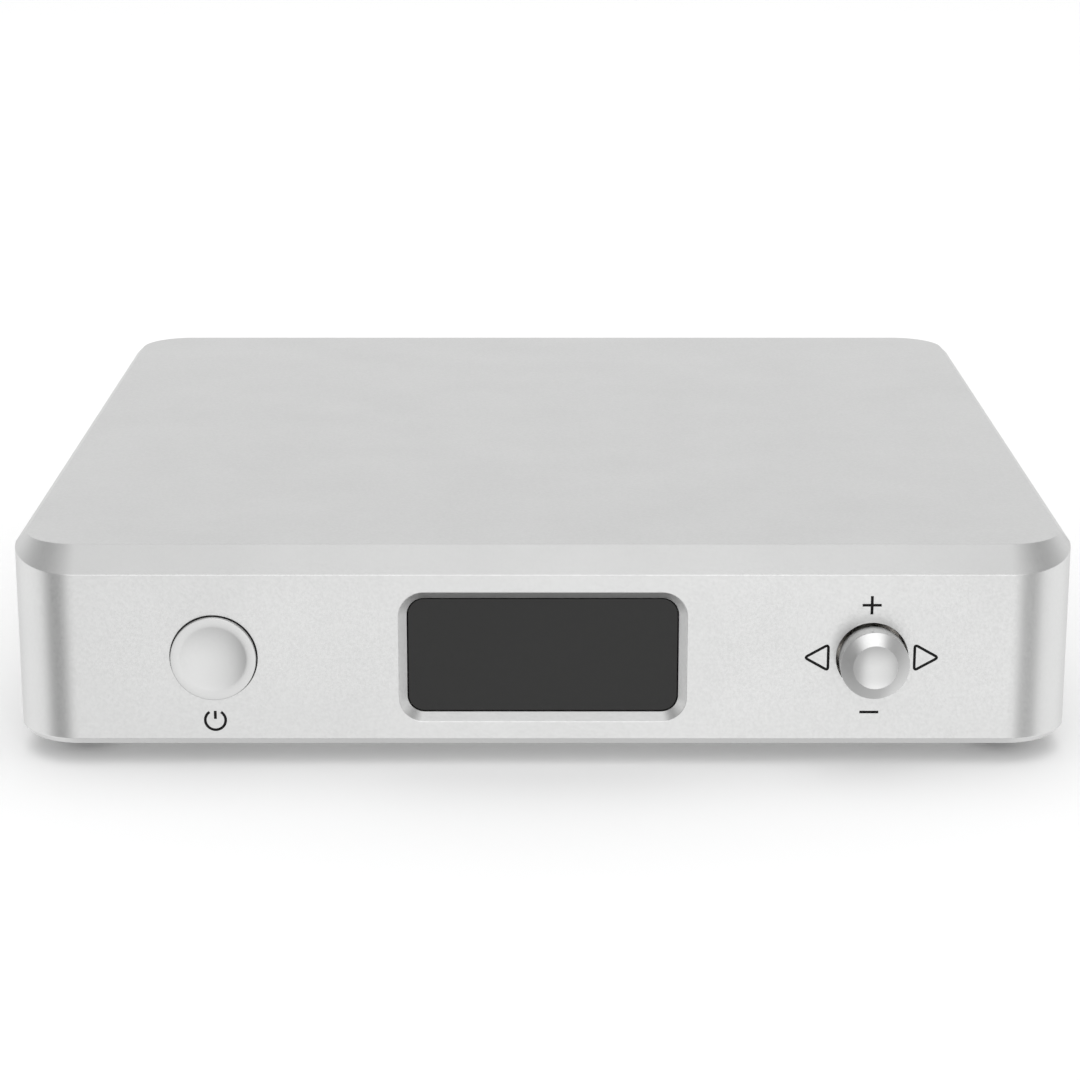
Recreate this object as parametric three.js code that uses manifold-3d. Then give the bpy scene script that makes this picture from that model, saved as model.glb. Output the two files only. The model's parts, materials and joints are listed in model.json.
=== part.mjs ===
// Desktop digital-to-analogue converter in a square aluminium case.
// Millimetres, +Z up, the front panel faces -Y and +X is on the viewer's right.
// The origin is the middle of the footprint, at the level the feet stand on.

import * as THREE from 'three';
import { mergeVertices } from 'three/addons/utils/BufferGeometryUtils.js';
import Module from 'manifold-3d';

const wasm = await Module();
wasm.setup();

// ---------------------------------------------------------------- driving dimensions

// Case: one milled block, open underneath.
const CASE_WIDTH = 132;
const CASE_DEPTH = 131.5;
const CASE_HEIGHT = 25.2;
const CORNER_RADIUS = 8.4;
const FRONT_CHAMFER = 3.1;
const EDGE_CHAMFER = 1.1;
const BOTTOM_CHAMFER = 0.9;
const TOP_CORNER_DEPTH = 7.5;
const CORNER_STEPS = 7;
const SIDE_WALL = 3;
const FRONT_WALL = 4;
const REAR_WALL = 5;
const TOP_WALL = 2.5;
const POST_SIZE = 10;

// Base plate and feet.
const BASE_THICKNESS = 2;
const BASE_INSET = 2.5;
const FIT_GAP = 0.2;
const FOOT_HEIGHT = 2.6;
const FOOT_RADIUS = 6.5;
const FOOT_POCKET = 0.6;
const FOOT_INSET = 21;

// Front panel.
const CONTROL_DROP = 13.7;
const CONTROL_X = 40.7;
const POWER_HOLE_RADIUS = 5.42;
const POWER_CAP_RADIUS = 5.3;
const POWER_PROUD = 0.75;
const NAV_HOLE_RADIUS = 4.43;
const NAV_RIM_RADIUS = 4.27;
const NAV_REACH = 4.1;
const NAV_COLLAR_RADIUS = 4.2;
const NAV_NECK_RADIUS = 3.1;
const NAV_CLEARANCE = 0.5;
const NAV_DISH_RADIUS = 2.75;
const NAV_PIVOT_DEPTH = 9.2;
const WINDOW_WIDTH = 33.6;
const WINDOW_HEIGHT = 14.7;
const WINDOW_RADIUS = 2.1;
const WINDOW_BEVEL = 1.03;
const WINDOW_POCKET = 2.6;
const LEDGE_WIDTH = 1.6;
const FRONT_BOARD_DEPTH = 12;
const FRONT_BOSS_X = 26;

// Rear panel and its sockets, measured from the panel's outer face.
const PANEL_RECESS = 0.3;
const PANEL_THICKNESS = 1.5;
const PANEL_WIDTH = 114;
const PANEL_HEIGHT = 19.4;
const PANEL_OPENING_WIDTH = 104;
const PANEL_OPENING_HEIGHT = 17.6;
const PANEL_SCREW_X = 54.6;
const SOCKET_HEIGHT = 12.7;
const DC_X = -47;
const USB_X = -33.9;
const OPTICAL_X = -20.3;
const COAX_X = -7.7;
const RCA_RIGHT_X = 4.9;
const RCA_LEFT_X = 17.5;
const BALANCED_RIGHT_X = 31.1;
const BALANCED_LEFT_X = 45.6;
const RCA_REACH = 8.5;

// Main board.
const STANDOFF_HEIGHT = 3;
const BOARD_THICKNESS = 1.5;
const BOARD_WIDTH = 100;
const BOARD_FRONT = 20;
const STANDOFF_X = 44;
const STANDOFF_ROWS = [28, 96];

// Common sizes.
const GAP = 0.1;
const OVERCUT = 1;
const ROUND_SIDES = 24;
const SMALL_SIDES = 12;

// Worked out from the sizes above.
const CONTROL_HEIGHT = CASE_HEIGHT - CONTROL_DROP;
const PANEL_FACE = CASE_DEPTH - PANEL_RECESS;
const POST_X = CASE_WIDTH / 2 - SIDE_WALL - POST_SIZE / 2;
const POST_ROWS = [FRONT_WALL + POST_SIZE / 2, CASE_DEPTH - REAR_WALL - POST_SIZE / 2];
const BOARD_BOTTOM = BASE_THICKNESS + STANDOFF_HEIGHT + GAP;
const BOARD_TOP = BOARD_BOTTOM + BOARD_THICKNESS;
const BOARD_BACK = CASE_DEPTH - REAR_WALL;
const SOCKET_BASE = BOARD_TOP + GAP - SOCKET_HEIGHT;
const FOOT_X = CASE_WIDTH / 2 - FOOT_INSET;
const FOOT_ROWS = [FOOT_INSET, CASE_DEPTH - FOOT_INSET];

// ---------------------------------------------------------------- finishes

function finish(color, roughness, metalness) {
  return new THREE.MeshStandardMaterial({ color, roughness, metalness });
}

const anodised = finish(0xd2d3d3, 0.45, 1);
const rubber = finish(0x1b1b1c, 0.9, 0);
const glass = finish(0x33373a, 0.1, 0);
const foam = finish(0x202020, 0.95, 0);
const screen = finish(0x383838, 0.35, 0);
const laminate = finish(0x16351f, 0.6, 0);
const blackPlastic = finish(0x191919, 0.55, 0);
const whitePlastic = finish(0xe6e4dd, 0.5, 0);
const redPlastic = finish(0xa81b1b, 0.5, 0);
const orangePlastic = finish(0xc56a1c, 0.5, 0);
const flexFilm = finish(0xb5762a, 0.5, 0);
const nickel = finish(0xb9b5ad, 0.3, 1);
const gold = finish(0xc9a24a, 0.28, 1);
const steel = finish(0x6f7174, 0.4, 1);

// ---------------------------------------------------------------- shape helpers

// Turns a three.js geometry into a closed solid that can be cut and joined.
function solid(geometry) {
  const bare = new THREE.BufferGeometry();
  bare.setAttribute('position', geometry.getAttribute('position'));
  bare.setIndex(geometry.getIndex());
  const merged = mergeVertices(bare, 1e-4);
  const corners = merged.getIndex().array;
  const triangles = [];
  for (let i = 0; i < corners.length; i += 3) {
    const [a, b, c] = corners.slice(i, i + 3);
    if (a !== b && b !== c && c !== a) {
      triangles.push(a, b, c);
    }
  }
  const mesh = new wasm.Mesh({
    numProp: 3,
    vertProperties: new Float32Array(merged.getAttribute('position').array),
    triVerts: new Uint32Array(triangles),
  });
  return new wasm.Manifold(mesh);
}

function geometryOf(manifold) {
  const { vertProperties, triVerts } = manifold.getMesh();
  const geometry = new THREE.BufferGeometry();
  geometry.setAttribute('position', new THREE.BufferAttribute(vertProperties, 3));
  geometry.setIndex(new THREE.BufferAttribute(triVerts, 1));
  geometry.computeVertexNormals();
  return geometry;
}

function piece(name, material, manifold, x = 0, y = 0, z = 0) {
  const mesh = new THREE.Mesh(geometryOf(manifold), material.clone());
  mesh.name = name;
  mesh.position.set(x, y, z);
  return mesh;
}

// A box given by its two ends on each axis.
function block([x0, x1], [y0, y1], [z0, z1]) {
  const geometry = new THREE.BoxGeometry(x1 - x0, y1 - y0, z1 - z0);
  return solid(geometry.translate((x0 + x1) / 2, (y0 + y1) / 2, (z0 + z1) / 2));
}

// A round bar along Y, from y0 to y1.
function barY(radius, y0, y1, x = 0, z = 0, sides = ROUND_SIDES) {
  const geometry = new THREE.CylinderGeometry(radius, radius, y1 - y0, sides);
  return solid(geometry.translate(x, (y0 + y1) / 2, z));
}

// A round bar along Z, from z0 to z1.
function barZ(radius, z0, z1, x = 0, y = 0, sides = ROUND_SIDES) {
  const geometry = new THREE.CylinderGeometry(radius, radius, z1 - z0, sides);
  return solid(geometry.rotateX(Math.PI / 2).translate(x, y, (z0 + z1) / 2));
}

// A round bar along X, from x0 to x1.
function barX(radius, x0, x1, y = 0, z = 0, sides = SMALL_SIDES) {
  const geometry = new THREE.CylinderGeometry(radius, radius, x1 - x0, sides);
  return solid(geometry.rotateZ(Math.PI / 2).translate((x0 + x1) / 2, y, z));
}

// A profile of [radius, y] points turned about Y. Its points run so that the faces look outwards.
function turned(profile, sides = ROUND_SIDES) {
  const points = profile.map(([radius, y]) => new THREE.Vector2(radius, y));
  return solid(new THREE.LatheGeometry(points, sides));
}

function roundedRect(width, height, radius) {
  const x = width / 2 - radius;
  const y = height / 2 - radius;
  const shape = new THREE.Shape();
  shape.absarc(x, -y, radius, -Math.PI / 2, 0);
  shape.absarc(x, y, radius, 0, Math.PI / 2);
  shape.absarc(-x, y, radius, Math.PI / 2, Math.PI);
  shape.absarc(-x, -y, radius, Math.PI, Math.PI * 1.5);
  shape.closePath();
  return shape;
}

function polygon(points) {
  return new THREE.Shape(points.map(([x, y]) => new THREE.Vector2(x, y)));
}

function extruded(shape, depth) {
  return new THREE.ExtrudeGeometry(shape, { depth, bevelEnabled: false, curveSegments: 4 });
}

// A plan outline standing from z0 to z1.
function plate(shape, z0, z1, x = 0, y = 0) {
  return solid(extruded(shape, z1 - z0).translate(x, y, z0));
}

// An outline seen from the front, reaching from y0 back to y1.
function slab(shape, y0, y1, x = 0, z = 0) {
  return solid(extruded(shape, y1 - y0).rotateX(Math.PI / 2).translate(x, y1, z));
}

// A side outline of [y, z] points with the given width across X.
function strip(points, width) {
  const geometry = extruded(polygon(points), width);
  return solid(geometry.rotateZ(Math.PI / 2).rotateY(Math.PI / 2).translate(-width / 2, 0, 0));
}

// Joins rings of equal length, each convex and anticlockwise seen from the last ring's side.
function loft(rings) {
  const count = rings[0].length;
  const last = (rings.length - 1) * count;
  const index = [];
  for (let start = 0; start < last; start += count) {
    for (let i = 0; i < count; i += 1) {
      const a = start + i;
      const b = start + ((i + 1) % count);
      index.push(a, b, b + count, a, b + count, a + count);
    }
  }
  for (let i = 1; i < count - 1; i += 1) {
    index.push(0, i + 1, i, last, last + i, last + i + 1);
  }
  const geometry = new THREE.BufferGeometry().setFromPoints(rings.flat());
  geometry.setIndex(index);
  return solid(geometry);
}

// A pan-head screw along Y: the head sits on y = 0 and the shank runs towards +Y.
function screw(headRadius, headHeight, shankRadius, length) {
  const head = barY(headRadius, -headHeight, 0, 0, 0, SMALL_SIDES);
  const shank = barY(shankRadius, -headHeight / 2, length, 0, 0, SMALL_SIDES);
  const socket = barY(headRadius * 0.5, -headHeight - OVERCUT, -headHeight * 0.45, 0, 0, 6);
  return head.add(shank).subtract(socket);
}

// ---------------------------------------------------------------- case shell

// Height lost to the top chamfer at a distance y behind the front: it narrows round the corners.
function chamferDrop(y) {
  const round = Math.min(y / CORNER_RADIUS, 1);
  return FRONT_CHAMFER + (EDGE_CHAMFER - FRONT_CHAMFER) * round;
}

// One level of the case's outline, drawn in by inset at the sides and frontInset at the front.
function caseRing(inset, frontInset, frontCornerDepth, heightAt) {
  const radius = CORNER_RADIUS - inset;
  const x = CASE_WIDTH / 2 - CORNER_RADIUS;
  const back = CASE_DEPTH - CORNER_RADIUS;
  const front = frontInset + frontCornerDepth;
  const corners = [
    [x, front, frontCornerDepth, -Math.PI / 2],
    [x, back, radius, 0],
    [-x, back, radius, Math.PI / 2],
    [-x, front, frontCornerDepth, Math.PI],
  ];
  return corners.flatMap(([centreX, centreY, depth, start]) => {
    const curve = new THREE.EllipseCurve(centreX, centreY, radius, depth, start, start + Math.PI / 2);
    return curve.getPoints(CORNER_STEPS).map((point) => new THREE.Vector3(point.x, point.y, heightAt(point.y)));
  });
}

function caseBlock() {
  const bottomCorner = CORNER_RADIUS - BOTTOM_CHAMFER;
  return loft([
    caseRing(BOTTOM_CHAMFER, BOTTOM_CHAMFER, bottomCorner, () => 0),
    caseRing(0, 0, CORNER_RADIUS, () => BOTTOM_CHAMFER),
    caseRing(0, 0, CORNER_RADIUS, (y) => CASE_HEIGHT - chamferDrop(y)),
    caseRing(EDGE_CHAMFER, FRONT_CHAMFER, TOP_CORNER_DEPTH, () => CASE_HEIGHT),
  ]);
}

// The hollow under the top, which leaves a square post in each corner.
function caseHollow() {
  const x = CASE_WIDTH / 2 - SIDE_WALL;
  const front = FRONT_WALL;
  const back = CASE_DEPTH - REAR_WALL;
  const outline = polygon([
    [-x + POST_SIZE, front],
    [x - POST_SIZE, front],
    [x - POST_SIZE, front + POST_SIZE],
    [x, front + POST_SIZE],
    [x, back - POST_SIZE],
    [x - POST_SIZE, back - POST_SIZE],
    [x - POST_SIZE, back],
    [-x + POST_SIZE, back],
    [-x + POST_SIZE, back - POST_SIZE],
    [-x, back - POST_SIZE],
    [-x, front + POST_SIZE],
    [-x + POST_SIZE, front + POST_SIZE],
  ]);
  return plate(outline, -OVERCUT, CASE_HEIGHT - TOP_WALL);
}

function baseOutline(gap) {
  const inset = BASE_INSET + gap;
  return roundedRect(CASE_WIDTH - 2 * inset, CASE_DEPTH - 2 * inset, CORNER_RADIUS - inset);
}

// A level of the display's bevelled surround, at a given depth behind the front face.
function surroundRing(depth) {
  const grow = WINDOW_BEVEL - depth;
  const shape = roundedRect(WINDOW_WIDTH + 2 * grow, WINDOW_HEIGHT + 2 * grow, WINDOW_RADIUS + grow);
  const points = shape.getPoints(4).slice(0, -1);
  return points.map((point) => new THREE.Vector3(point.x, depth, point.y + CONTROL_HEIGHT));
}

function caseShell() {
  const middle = CASE_DEPTH / 2;
  const bossLength = FRONT_BOARD_DEPTH - GAP - FRONT_WALL;
  let shell = caseBlock();
  shell = shell.subtract(caseHollow());
  shell = shell.subtract(plate(baseOutline(0), -OVERCUT, BASE_THICKNESS + FIT_GAP, 0, middle));

  // Front panel: two round holes, the display's bevel, pocket and ledge.
  shell = shell.subtract(barY(POWER_HOLE_RADIUS, -OVERCUT, FRONT_WALL + OVERCUT, -CONTROL_X, CONTROL_HEIGHT));
  shell = shell.subtract(barY(NAV_HOLE_RADIUS, -OVERCUT, FRONT_WALL + OVERCUT, CONTROL_X, CONTROL_HEIGHT));
  shell = shell.subtract(loft([surroundRing(WINDOW_BEVEL), surroundRing(-OVERCUT)]));
  const pocket = roundedRect(WINDOW_WIDTH, WINDOW_HEIGHT, WINDOW_RADIUS);
  shell = shell.subtract(slab(pocket, WINDOW_BEVEL / 2, WINDOW_POCKET, 0, CONTROL_HEIGHT));
  const ledge = roundedRect(WINDOW_WIDTH - 2 * LEDGE_WIDTH, WINDOW_HEIGHT - 2 * LEDGE_WIDTH, GAP);
  shell = shell.subtract(slab(ledge, WINDOW_BEVEL, FRONT_WALL + OVERCUT, 0, CONTROL_HEIGHT));

  // Bosses that carry the front board.
  for (const x of [-FRONT_BOSS_X, FRONT_BOSS_X]) {
    const bossEnd = FRONT_WALL + bossLength;
    shell = shell.add(barY(2.8, FRONT_WALL - GAP, bossEnd, x, CONTROL_HEIGHT, SMALL_SIDES));
    shell = shell.subtract(barY(1.2, FRONT_WALL + 1, bossEnd + OVERCUT, x, CONTROL_HEIGHT, SMALL_SIDES));
  }

  // Rear wall: a recess for the panel and the opening behind it.
  const recess = roundedRect(PANEL_WIDTH + 2 * GAP, PANEL_HEIGHT + 2 * GAP, 2);
  const recessFloor = PANEL_FACE - PANEL_THICKNESS - GAP;
  shell = shell.subtract(slab(recess, recessFloor, CASE_DEPTH + OVERCUT, 0, SOCKET_HEIGHT));
  const opening = roundedRect(PANEL_OPENING_WIDTH, PANEL_OPENING_HEIGHT, 2);
  shell = shell.subtract(slab(opening, BOARD_BACK - OVERCUT, recessFloor + GAP, 0, SOCKET_HEIGHT));
  for (const x of [-PANEL_SCREW_X, PANEL_SCREW_X]) {
    shell = shell.subtract(barY(1.35, recessFloor - 4, recessFloor + GAP, x, SOCKET_HEIGHT, SMALL_SIDES));
  }

  // Blind holes for the base screws.
  for (const y of POST_ROWS) {
    for (const x of [-POST_X, POST_X]) {
      shell = shell.subtract(barZ(1.6, 0, BASE_THICKNESS + 9, x, y, SMALL_SIDES));
    }
  }
  return shell;
}

// ---------------------------------------------------------------- base

function basePlate() {
  let base = plate(baseOutline(FIT_GAP), 0, BASE_THICKNESS, 0, CASE_DEPTH / 2);
  for (const y of POST_ROWS) {
    for (const x of [-POST_X, POST_X]) {
      base = base.subtract(barZ(1.7, -OVERCUT, BASE_THICKNESS + OVERCUT, x, y, SMALL_SIDES));
      base = base.subtract(barZ(3.1, -OVERCUT, 1.2, x, y, SMALL_SIDES));
    }
  }
  for (const y of FOOT_ROWS) {
    for (const x of [-FOOT_X, FOOT_X]) {
      base = base.subtract(barZ(FOOT_RADIUS + FIT_GAP, -OVERCUT, FOOT_POCKET, x, y));
    }
  }
  for (const y of STANDOFF_ROWS) {
    for (const x of [-STANDOFF_X, STANDOFF_X]) {
      const top = BASE_THICKNESS + STANDOFF_HEIGHT;
      base = base.add(barZ(3, BASE_THICKNESS - GAP, top, x, y, SMALL_SIDES));
      base = base.subtract(barZ(1.2, BASE_THICKNESS, top + OVERCUT, x, y, SMALL_SIDES));
    }
  }
  return base;
}

// A foot along Y, its flat sole at y = 0.
function foot() {
  const top = FOOT_HEIGHT + FOOT_POCKET - GAP;
  return turned([[0, 0], [5.4, 0], [6.2, 0.5], [FOOT_RADIUS, 1.3], [FOOT_RADIUS, top], [0, top]]);
}

function housing() {
  const group = new THREE.Group();
  group.add(piece('case_shell', anodised, caseShell()));
  group.add(piece('base_plate', anodised, basePlate()));
  let number = 1;
  for (const y of FOOT_ROWS) {
    for (const x of [-FOOT_X, FOOT_X]) {
      const mesh = piece(`foot_${number}`, rubber, foot(), x, y, -FOOT_HEIGHT);
      mesh.rotation.x = Math.PI / 2;
      group.add(mesh);
      number += 1;
    }
  }
  number = 1;
  for (const y of POST_ROWS) {
    for (const x of [-POST_X, POST_X]) {
      const mesh = piece(`base_screw_${number}`, steel, screw(2.8, 1, 1.4, 8), x, y, 1.2 - GAP);
      mesh.rotation.x = Math.PI / 2;
      group.add(mesh);
      number += 1;
    }
  }
  return group;
}

// ---------------------------------------------------------------- front controls
// In this group y = 0 is the front face and z = 0 the controls' centre line.

// A shallow bowl's profile, from its centre out to its edge at y = face.
function bowl(radius, depth, face, steps) {
  return Array.from({ length: steps + 1 }, (_, step) => {
    const r = (radius * step) / steps;
    return [r, face + depth * (1 - (r / radius) ** 2)];
  });
}

function powerButton() {
  const bevel = 0.2;
  return turned([
    ...bowl(4.4, 0.5, -POWER_PROUD, 3),
    [POWER_CAP_RADIUS - bevel, -POWER_PROUD],
    [POWER_CAP_RADIUS, -POWER_PROUD + bevel],
    [POWER_CAP_RADIUS, FRONT_WALL + 0.3],
    [6.3, FRONT_WALL + 0.3],
    [6.3, FRONT_WALL + 1.1],
    [1.6, FRONT_WALL + 1.1],
    [1.6, 7.4],
    [0, 7.4],
  ]);
}

function powerSwitch() {
  const body = block([-3, 3], [8.4, FRONT_BOARD_DEPTH - GAP], [-3, 3]);
  return body.subtract(barY(1.9, 8.4 - OVERCUT, 10.6, 0, 0, SMALL_SIDES));
}

function navKnob() {
  const tip = -NAV_REACH;
  const rimFront = tip + 0.72;
  const rimBack = tip + 0.9;
  const rear = 2.5;
  const knob = turned([
    ...bowl(NAV_DISH_RADIUS, 0.5, tip, 3),
    [NAV_RIM_RADIUS, rimFront],
    [NAV_RIM_RADIUS, rimBack],
    [NAV_COLLAR_RADIUS, rimBack + GAP],
    [NAV_COLLAR_RADIUS, -NAV_CLEARANCE],
    [NAV_NECK_RADIUS, -NAV_CLEARANCE],
    [NAV_NECK_RADIUS, rear],
    [0, rear],
  ]);
  return knob.subtract(barY(1.2, 0.9, rear + OVERCUT, 0, 0, SMALL_SIDES));
}

// The tilting ring: its upright pins turn in the switch body and carry it left and right.
function navYoke() {
  const y = NAV_PIVOT_DEPTH;
  let ring = barY(3.6, y - 0.6, y + 0.6, 0, 0, SMALL_SIDES);
  ring = ring.add(barZ(0.4, -4.7, 4.7, 0, y, SMALL_SIDES));
  ring = ring.subtract(barY(2.7, y - OVERCUT, y + OVERCUT, 0, 0, SMALL_SIDES));
  return ring.subtract(barX(0.55, -4, 4, y));
}

// The sleeve inside the ring: its level pins carry it up and down, and the stem slides in it.
function navSleeve() {
  const y = NAV_PIVOT_DEPTH;
  const sleeve = barY(1.9, y - 1, y + 1, 0, 0, SMALL_SIDES).add(barX(0.4, -3.3, 3.3, y));
  return sleeve.subtract(barY(1.25, y - 2, y + 2, 0, 0, SMALL_SIDES));
}

function navSwitchBody() {
  const y = NAV_PIVOT_DEPTH;
  let body = block([-5, 5], [7.2, FRONT_BOARD_DEPTH - GAP], [-5, 5]);
  body = body.subtract(block([-4.2, 4.2], [7.2 - OVERCUT, 11.2], [-4.2, 4.2]));
  return body.subtract(barZ(0.55, -5 - OVERCUT, 5 + OVERCUT, 0, y, SMALL_SIDES));
}

function frontBoard() {
  const back = FRONT_BOARD_DEPTH + BOARD_THICKNESS;
  let board = block([-BOARD_WIDTH / 2, BOARD_WIDTH / 2], [FRONT_BOARD_DEPTH, back], [-8.5, 9]);
  for (const x of [-FRONT_BOSS_X, FRONT_BOSS_X]) {
    board = board.subtract(barY(1.4, FRONT_BOARD_DEPTH - OVERCUT, back + OVERCUT, x, 0, SMALL_SIDES));
  }
  return board;
}

function windowSeal() {
  const frame = roundedRect(WINDOW_WIDTH - 0.6, WINDOW_HEIGHT - 0.6, 1.4);
  frame.holes.push(roundedRect(WINDOW_WIDTH - 2 * LEDGE_WIDTH, WINDOW_HEIGHT - 2 * LEDGE_WIDTH, 0.5));
  return slab(frame, 2.2, WINDOW_POCKET - GAP);
}

function displayFlex() {
  const thickness = 0.3;
  const start = 6.2;
  const end = FRONT_BOARD_DEPTH - GAP;
  return strip([
    [start, -4],
    [start + 2, -4],
    [end - 1.5, -6],
    [end, -6],
    [end, -6 + thickness],
    [end - 1.5, -6 + thickness],
    [start + 2, -4 + thickness],
    [start, -4 + thickness],
  ], 14);
}

function frontControls() {
  const group = new THREE.Group();
  group.position.z = CONTROL_HEIGHT;
  const pane = roundedRect(WINDOW_WIDTH - FIT_GAP, WINDOW_HEIGHT - FIT_GAP, WINDOW_RADIUS - GAP);
  group.add(piece('display_window', glass, slab(pane, WINDOW_BEVEL + 0.05, 2.1)));
  group.add(piece('window_seal', foam, windowSeal()));
  group.add(piece('display_panel', screen, block([-18, 18], [4.3, 6.1], [-8, 8])));
  group.add(piece('display_flex', flexFilm, displayFlex()));
  group.add(piece('front_board', laminate, frontBoard()));
  for (const [side, x] of [['left', -FRONT_BOSS_X], ['right', FRONT_BOSS_X]]) {
    const y = FRONT_BOARD_DEPTH + BOARD_THICKNESS + GAP;
    const mesh = piece(`front_board_screw_${side}`, steel, screw(2.1, 1.4, 1, 6), x, y);
    mesh.rotation.z = Math.PI;
    group.add(mesh);
  }

  group.add(piece('power_button', anodised, powerButton(), -CONTROL_X));
  group.add(piece('power_plunger', blackPlastic, barY(1.6, 7.5, 9.6, 0, 0, SMALL_SIDES), -CONTROL_X));
  group.add(piece('power_switch', blackPlastic, powerSwitch(), -CONTROL_X));

  const cover = block([-5, 5], [6.6, 7.1], [-5, 5]).subtract(barY(2.4, 6, 8, 0, 0, SMALL_SIDES));
  group.add(piece('nav_knob', anodised, navKnob(), CONTROL_X));
  group.add(piece('nav_stem', blackPlastic, barY(1.1, 1, 10.4, 0, 0, SMALL_SIDES), CONTROL_X));
  group.add(piece('nav_sleeve', whitePlastic, navSleeve(), CONTROL_X));
  group.add(piece('nav_yoke', blackPlastic, navYoke(), CONTROL_X));
  group.add(piece('nav_switch_body', blackPlastic, navSwitchBody(), CONTROL_X));
  group.add(piece('nav_switch_cover', nickel, cover, CONTROL_X));
  return group;
}

// ---------------------------------------------------------------- rear panel and sockets
// In this group y = 0 is the rear panel's outer face, +Y leads out, and z = 0 the sockets' line.

const PANEL_INNER = -PANEL_THICKNESS;
const SOCKET_FRONT = PANEL_INNER - GAP;

function rearPanel() {
  const outline = roundedRect(PANEL_WIDTH, PANEL_HEIGHT, 1.9);
  let panel = slab(outline, PANEL_INNER, 0);
  const roundHoles = [
    [-PANEL_SCREW_X, 1.5],
    [PANEL_SCREW_X, 1.5],
    [DC_X, 4.2],
    [COAX_X, 4.4],
    [RCA_RIGHT_X, 4.4],
    [RCA_LEFT_X, 4.4],
    [BALANCED_RIGHT_X, 4.7],
    [BALANCED_LEFT_X, 4.7],
  ];
  for (const [x, radius] of roundHoles) {
    panel = panel.subtract(barY(radius, PANEL_INNER - OVERCUT, OVERCUT, x, 0, 20));
  }
  const floor = SOCKET_BASE - FIT_GAP;
  for (const [x, halfWidth, top] of [[USB_X, 6.2, 5.5], [OPTICAL_X, 5.2, 5.2]]) {
    panel = panel.subtract(block([x - halfWidth, x + halfWidth], [PANEL_INNER - OVERCUT, OVERCUT], [floor, top]));
  }
  return panel;
}

// A phono socket's plated shell, with the flange that clamps the panel.
function phonoShell() {
  return turned([
    [3.45, PANEL_INNER + GAP],
    [4.15, PANEL_INNER + GAP],
    [4.15, GAP],
    [5.2, GAP],
    [5.2, 1],
    [4.15, 1],
    [4.15, RCA_REACH - 0.3],
    [3.9, RCA_REACH],
    [3.45, RCA_REACH],
    [3.45, PANEL_INNER + GAP],
  ], 20);
}

// A phono socket's moulded body, with the core that the plug's pin enters.
function phonoBody() {
  const body = block([-5.2, 5.2], [SOCKET_FRONT - 10, SOCKET_FRONT], [SOCKET_BASE, 5.2]);
  const core = barY(3.3, SOCKET_FRONT - 1, RCA_REACH - 0.9, 0, 0, 16);
  return body.add(core).subtract(barY(1.7, -8, RCA_REACH, 0, 0, SMALL_SIDES));
}

// A 6.35 mm jack: a moulded body, a threaded nose and the bore that the plug slides into.
function balancedJack() {
  const body = block([-6, 6], [SOCKET_FRONT - 26, SOCKET_FRONT], [SOCKET_BASE, 6]);
  const nose = barY(4.4, SOCKET_FRONT - 1, 3.2, 0, 0, 16);
  return body.add(nose).subtract(barY(3.25, SOCKET_FRONT - 24.4, 3.2 + OVERCUT, 0, 0, 16));
}

function hexNut() {
  const corners = Array.from({ length: 6 }, (_, i) => {
    const angle = ((i + 0.5) * Math.PI) / 3;
    return [6.6 * Math.cos(angle), 6.6 * Math.sin(angle)];
  });
  const nut = slab(polygon(corners), GAP, 2.2);
  return nut.subtract(barY(4.6, -OVERCUT, 2.2 + OVERCUT, 0, 0, 16));
}

function usbShell() {
  const shell = block([-6, 6], [-16, 0.4], [SOCKET_BASE, 5.3]);
  return shell.subtract(block([-4.25, 4.25], [-14.6, 0.4 + OVERCUT], [-3.9, 3.9]));
}

function usbTongue() {
  const back = block([-4.1, 4.1], [-14.5, -12.9], [-3.7, 3.7]);
  return back.add(block([-2.8, 2.8], [-13, -2], [-1.6, 1.6]));
}

function dcSocket() {
  const body = block([-4.5, 4.5], [SOCKET_FRONT - 13, SOCKET_FRONT], [SOCKET_BASE, 5]);
  const nose = barY(3.9, SOCKET_FRONT - 1, 0.3, 0, 0, 16);
  return body.add(nose).subtract(barY(3, -9, 0.3 + OVERCUT, 0, 0, 16));
}

// The optical socket's flap hangs in the mouth and swings inwards about its top pin.
const FLAP_PIN_Y = -0.9;
const FLAP_PIN_Z = 3.3;

function opticalSocket() {
  let body = block([-5, 5], [-13, 0.4], [SOCKET_BASE, 5]);
  body = body.subtract(block([-3.5, 3.5], [-9.5, 0.4 + OVERCUT], [-3.6, 3.9]));
  return body.subtract(barX(0.65, -4.2, 4.2, FLAP_PIN_Y, FLAP_PIN_Z));
}

function opticalShutter() {
  const flap = block([-3.3, 3.3], [FLAP_PIN_Y - 0.4, FLAP_PIN_Y + 0.4], [-3.3, FLAP_PIN_Z]);
  const barrel = barX(0.5, -3.3, 3.3, FLAP_PIN_Y, FLAP_PIN_Z);
  return flap.add(barrel).add(barX(0.4, -4, 4, FLAP_PIN_Y, FLAP_PIN_Z));
}

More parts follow.
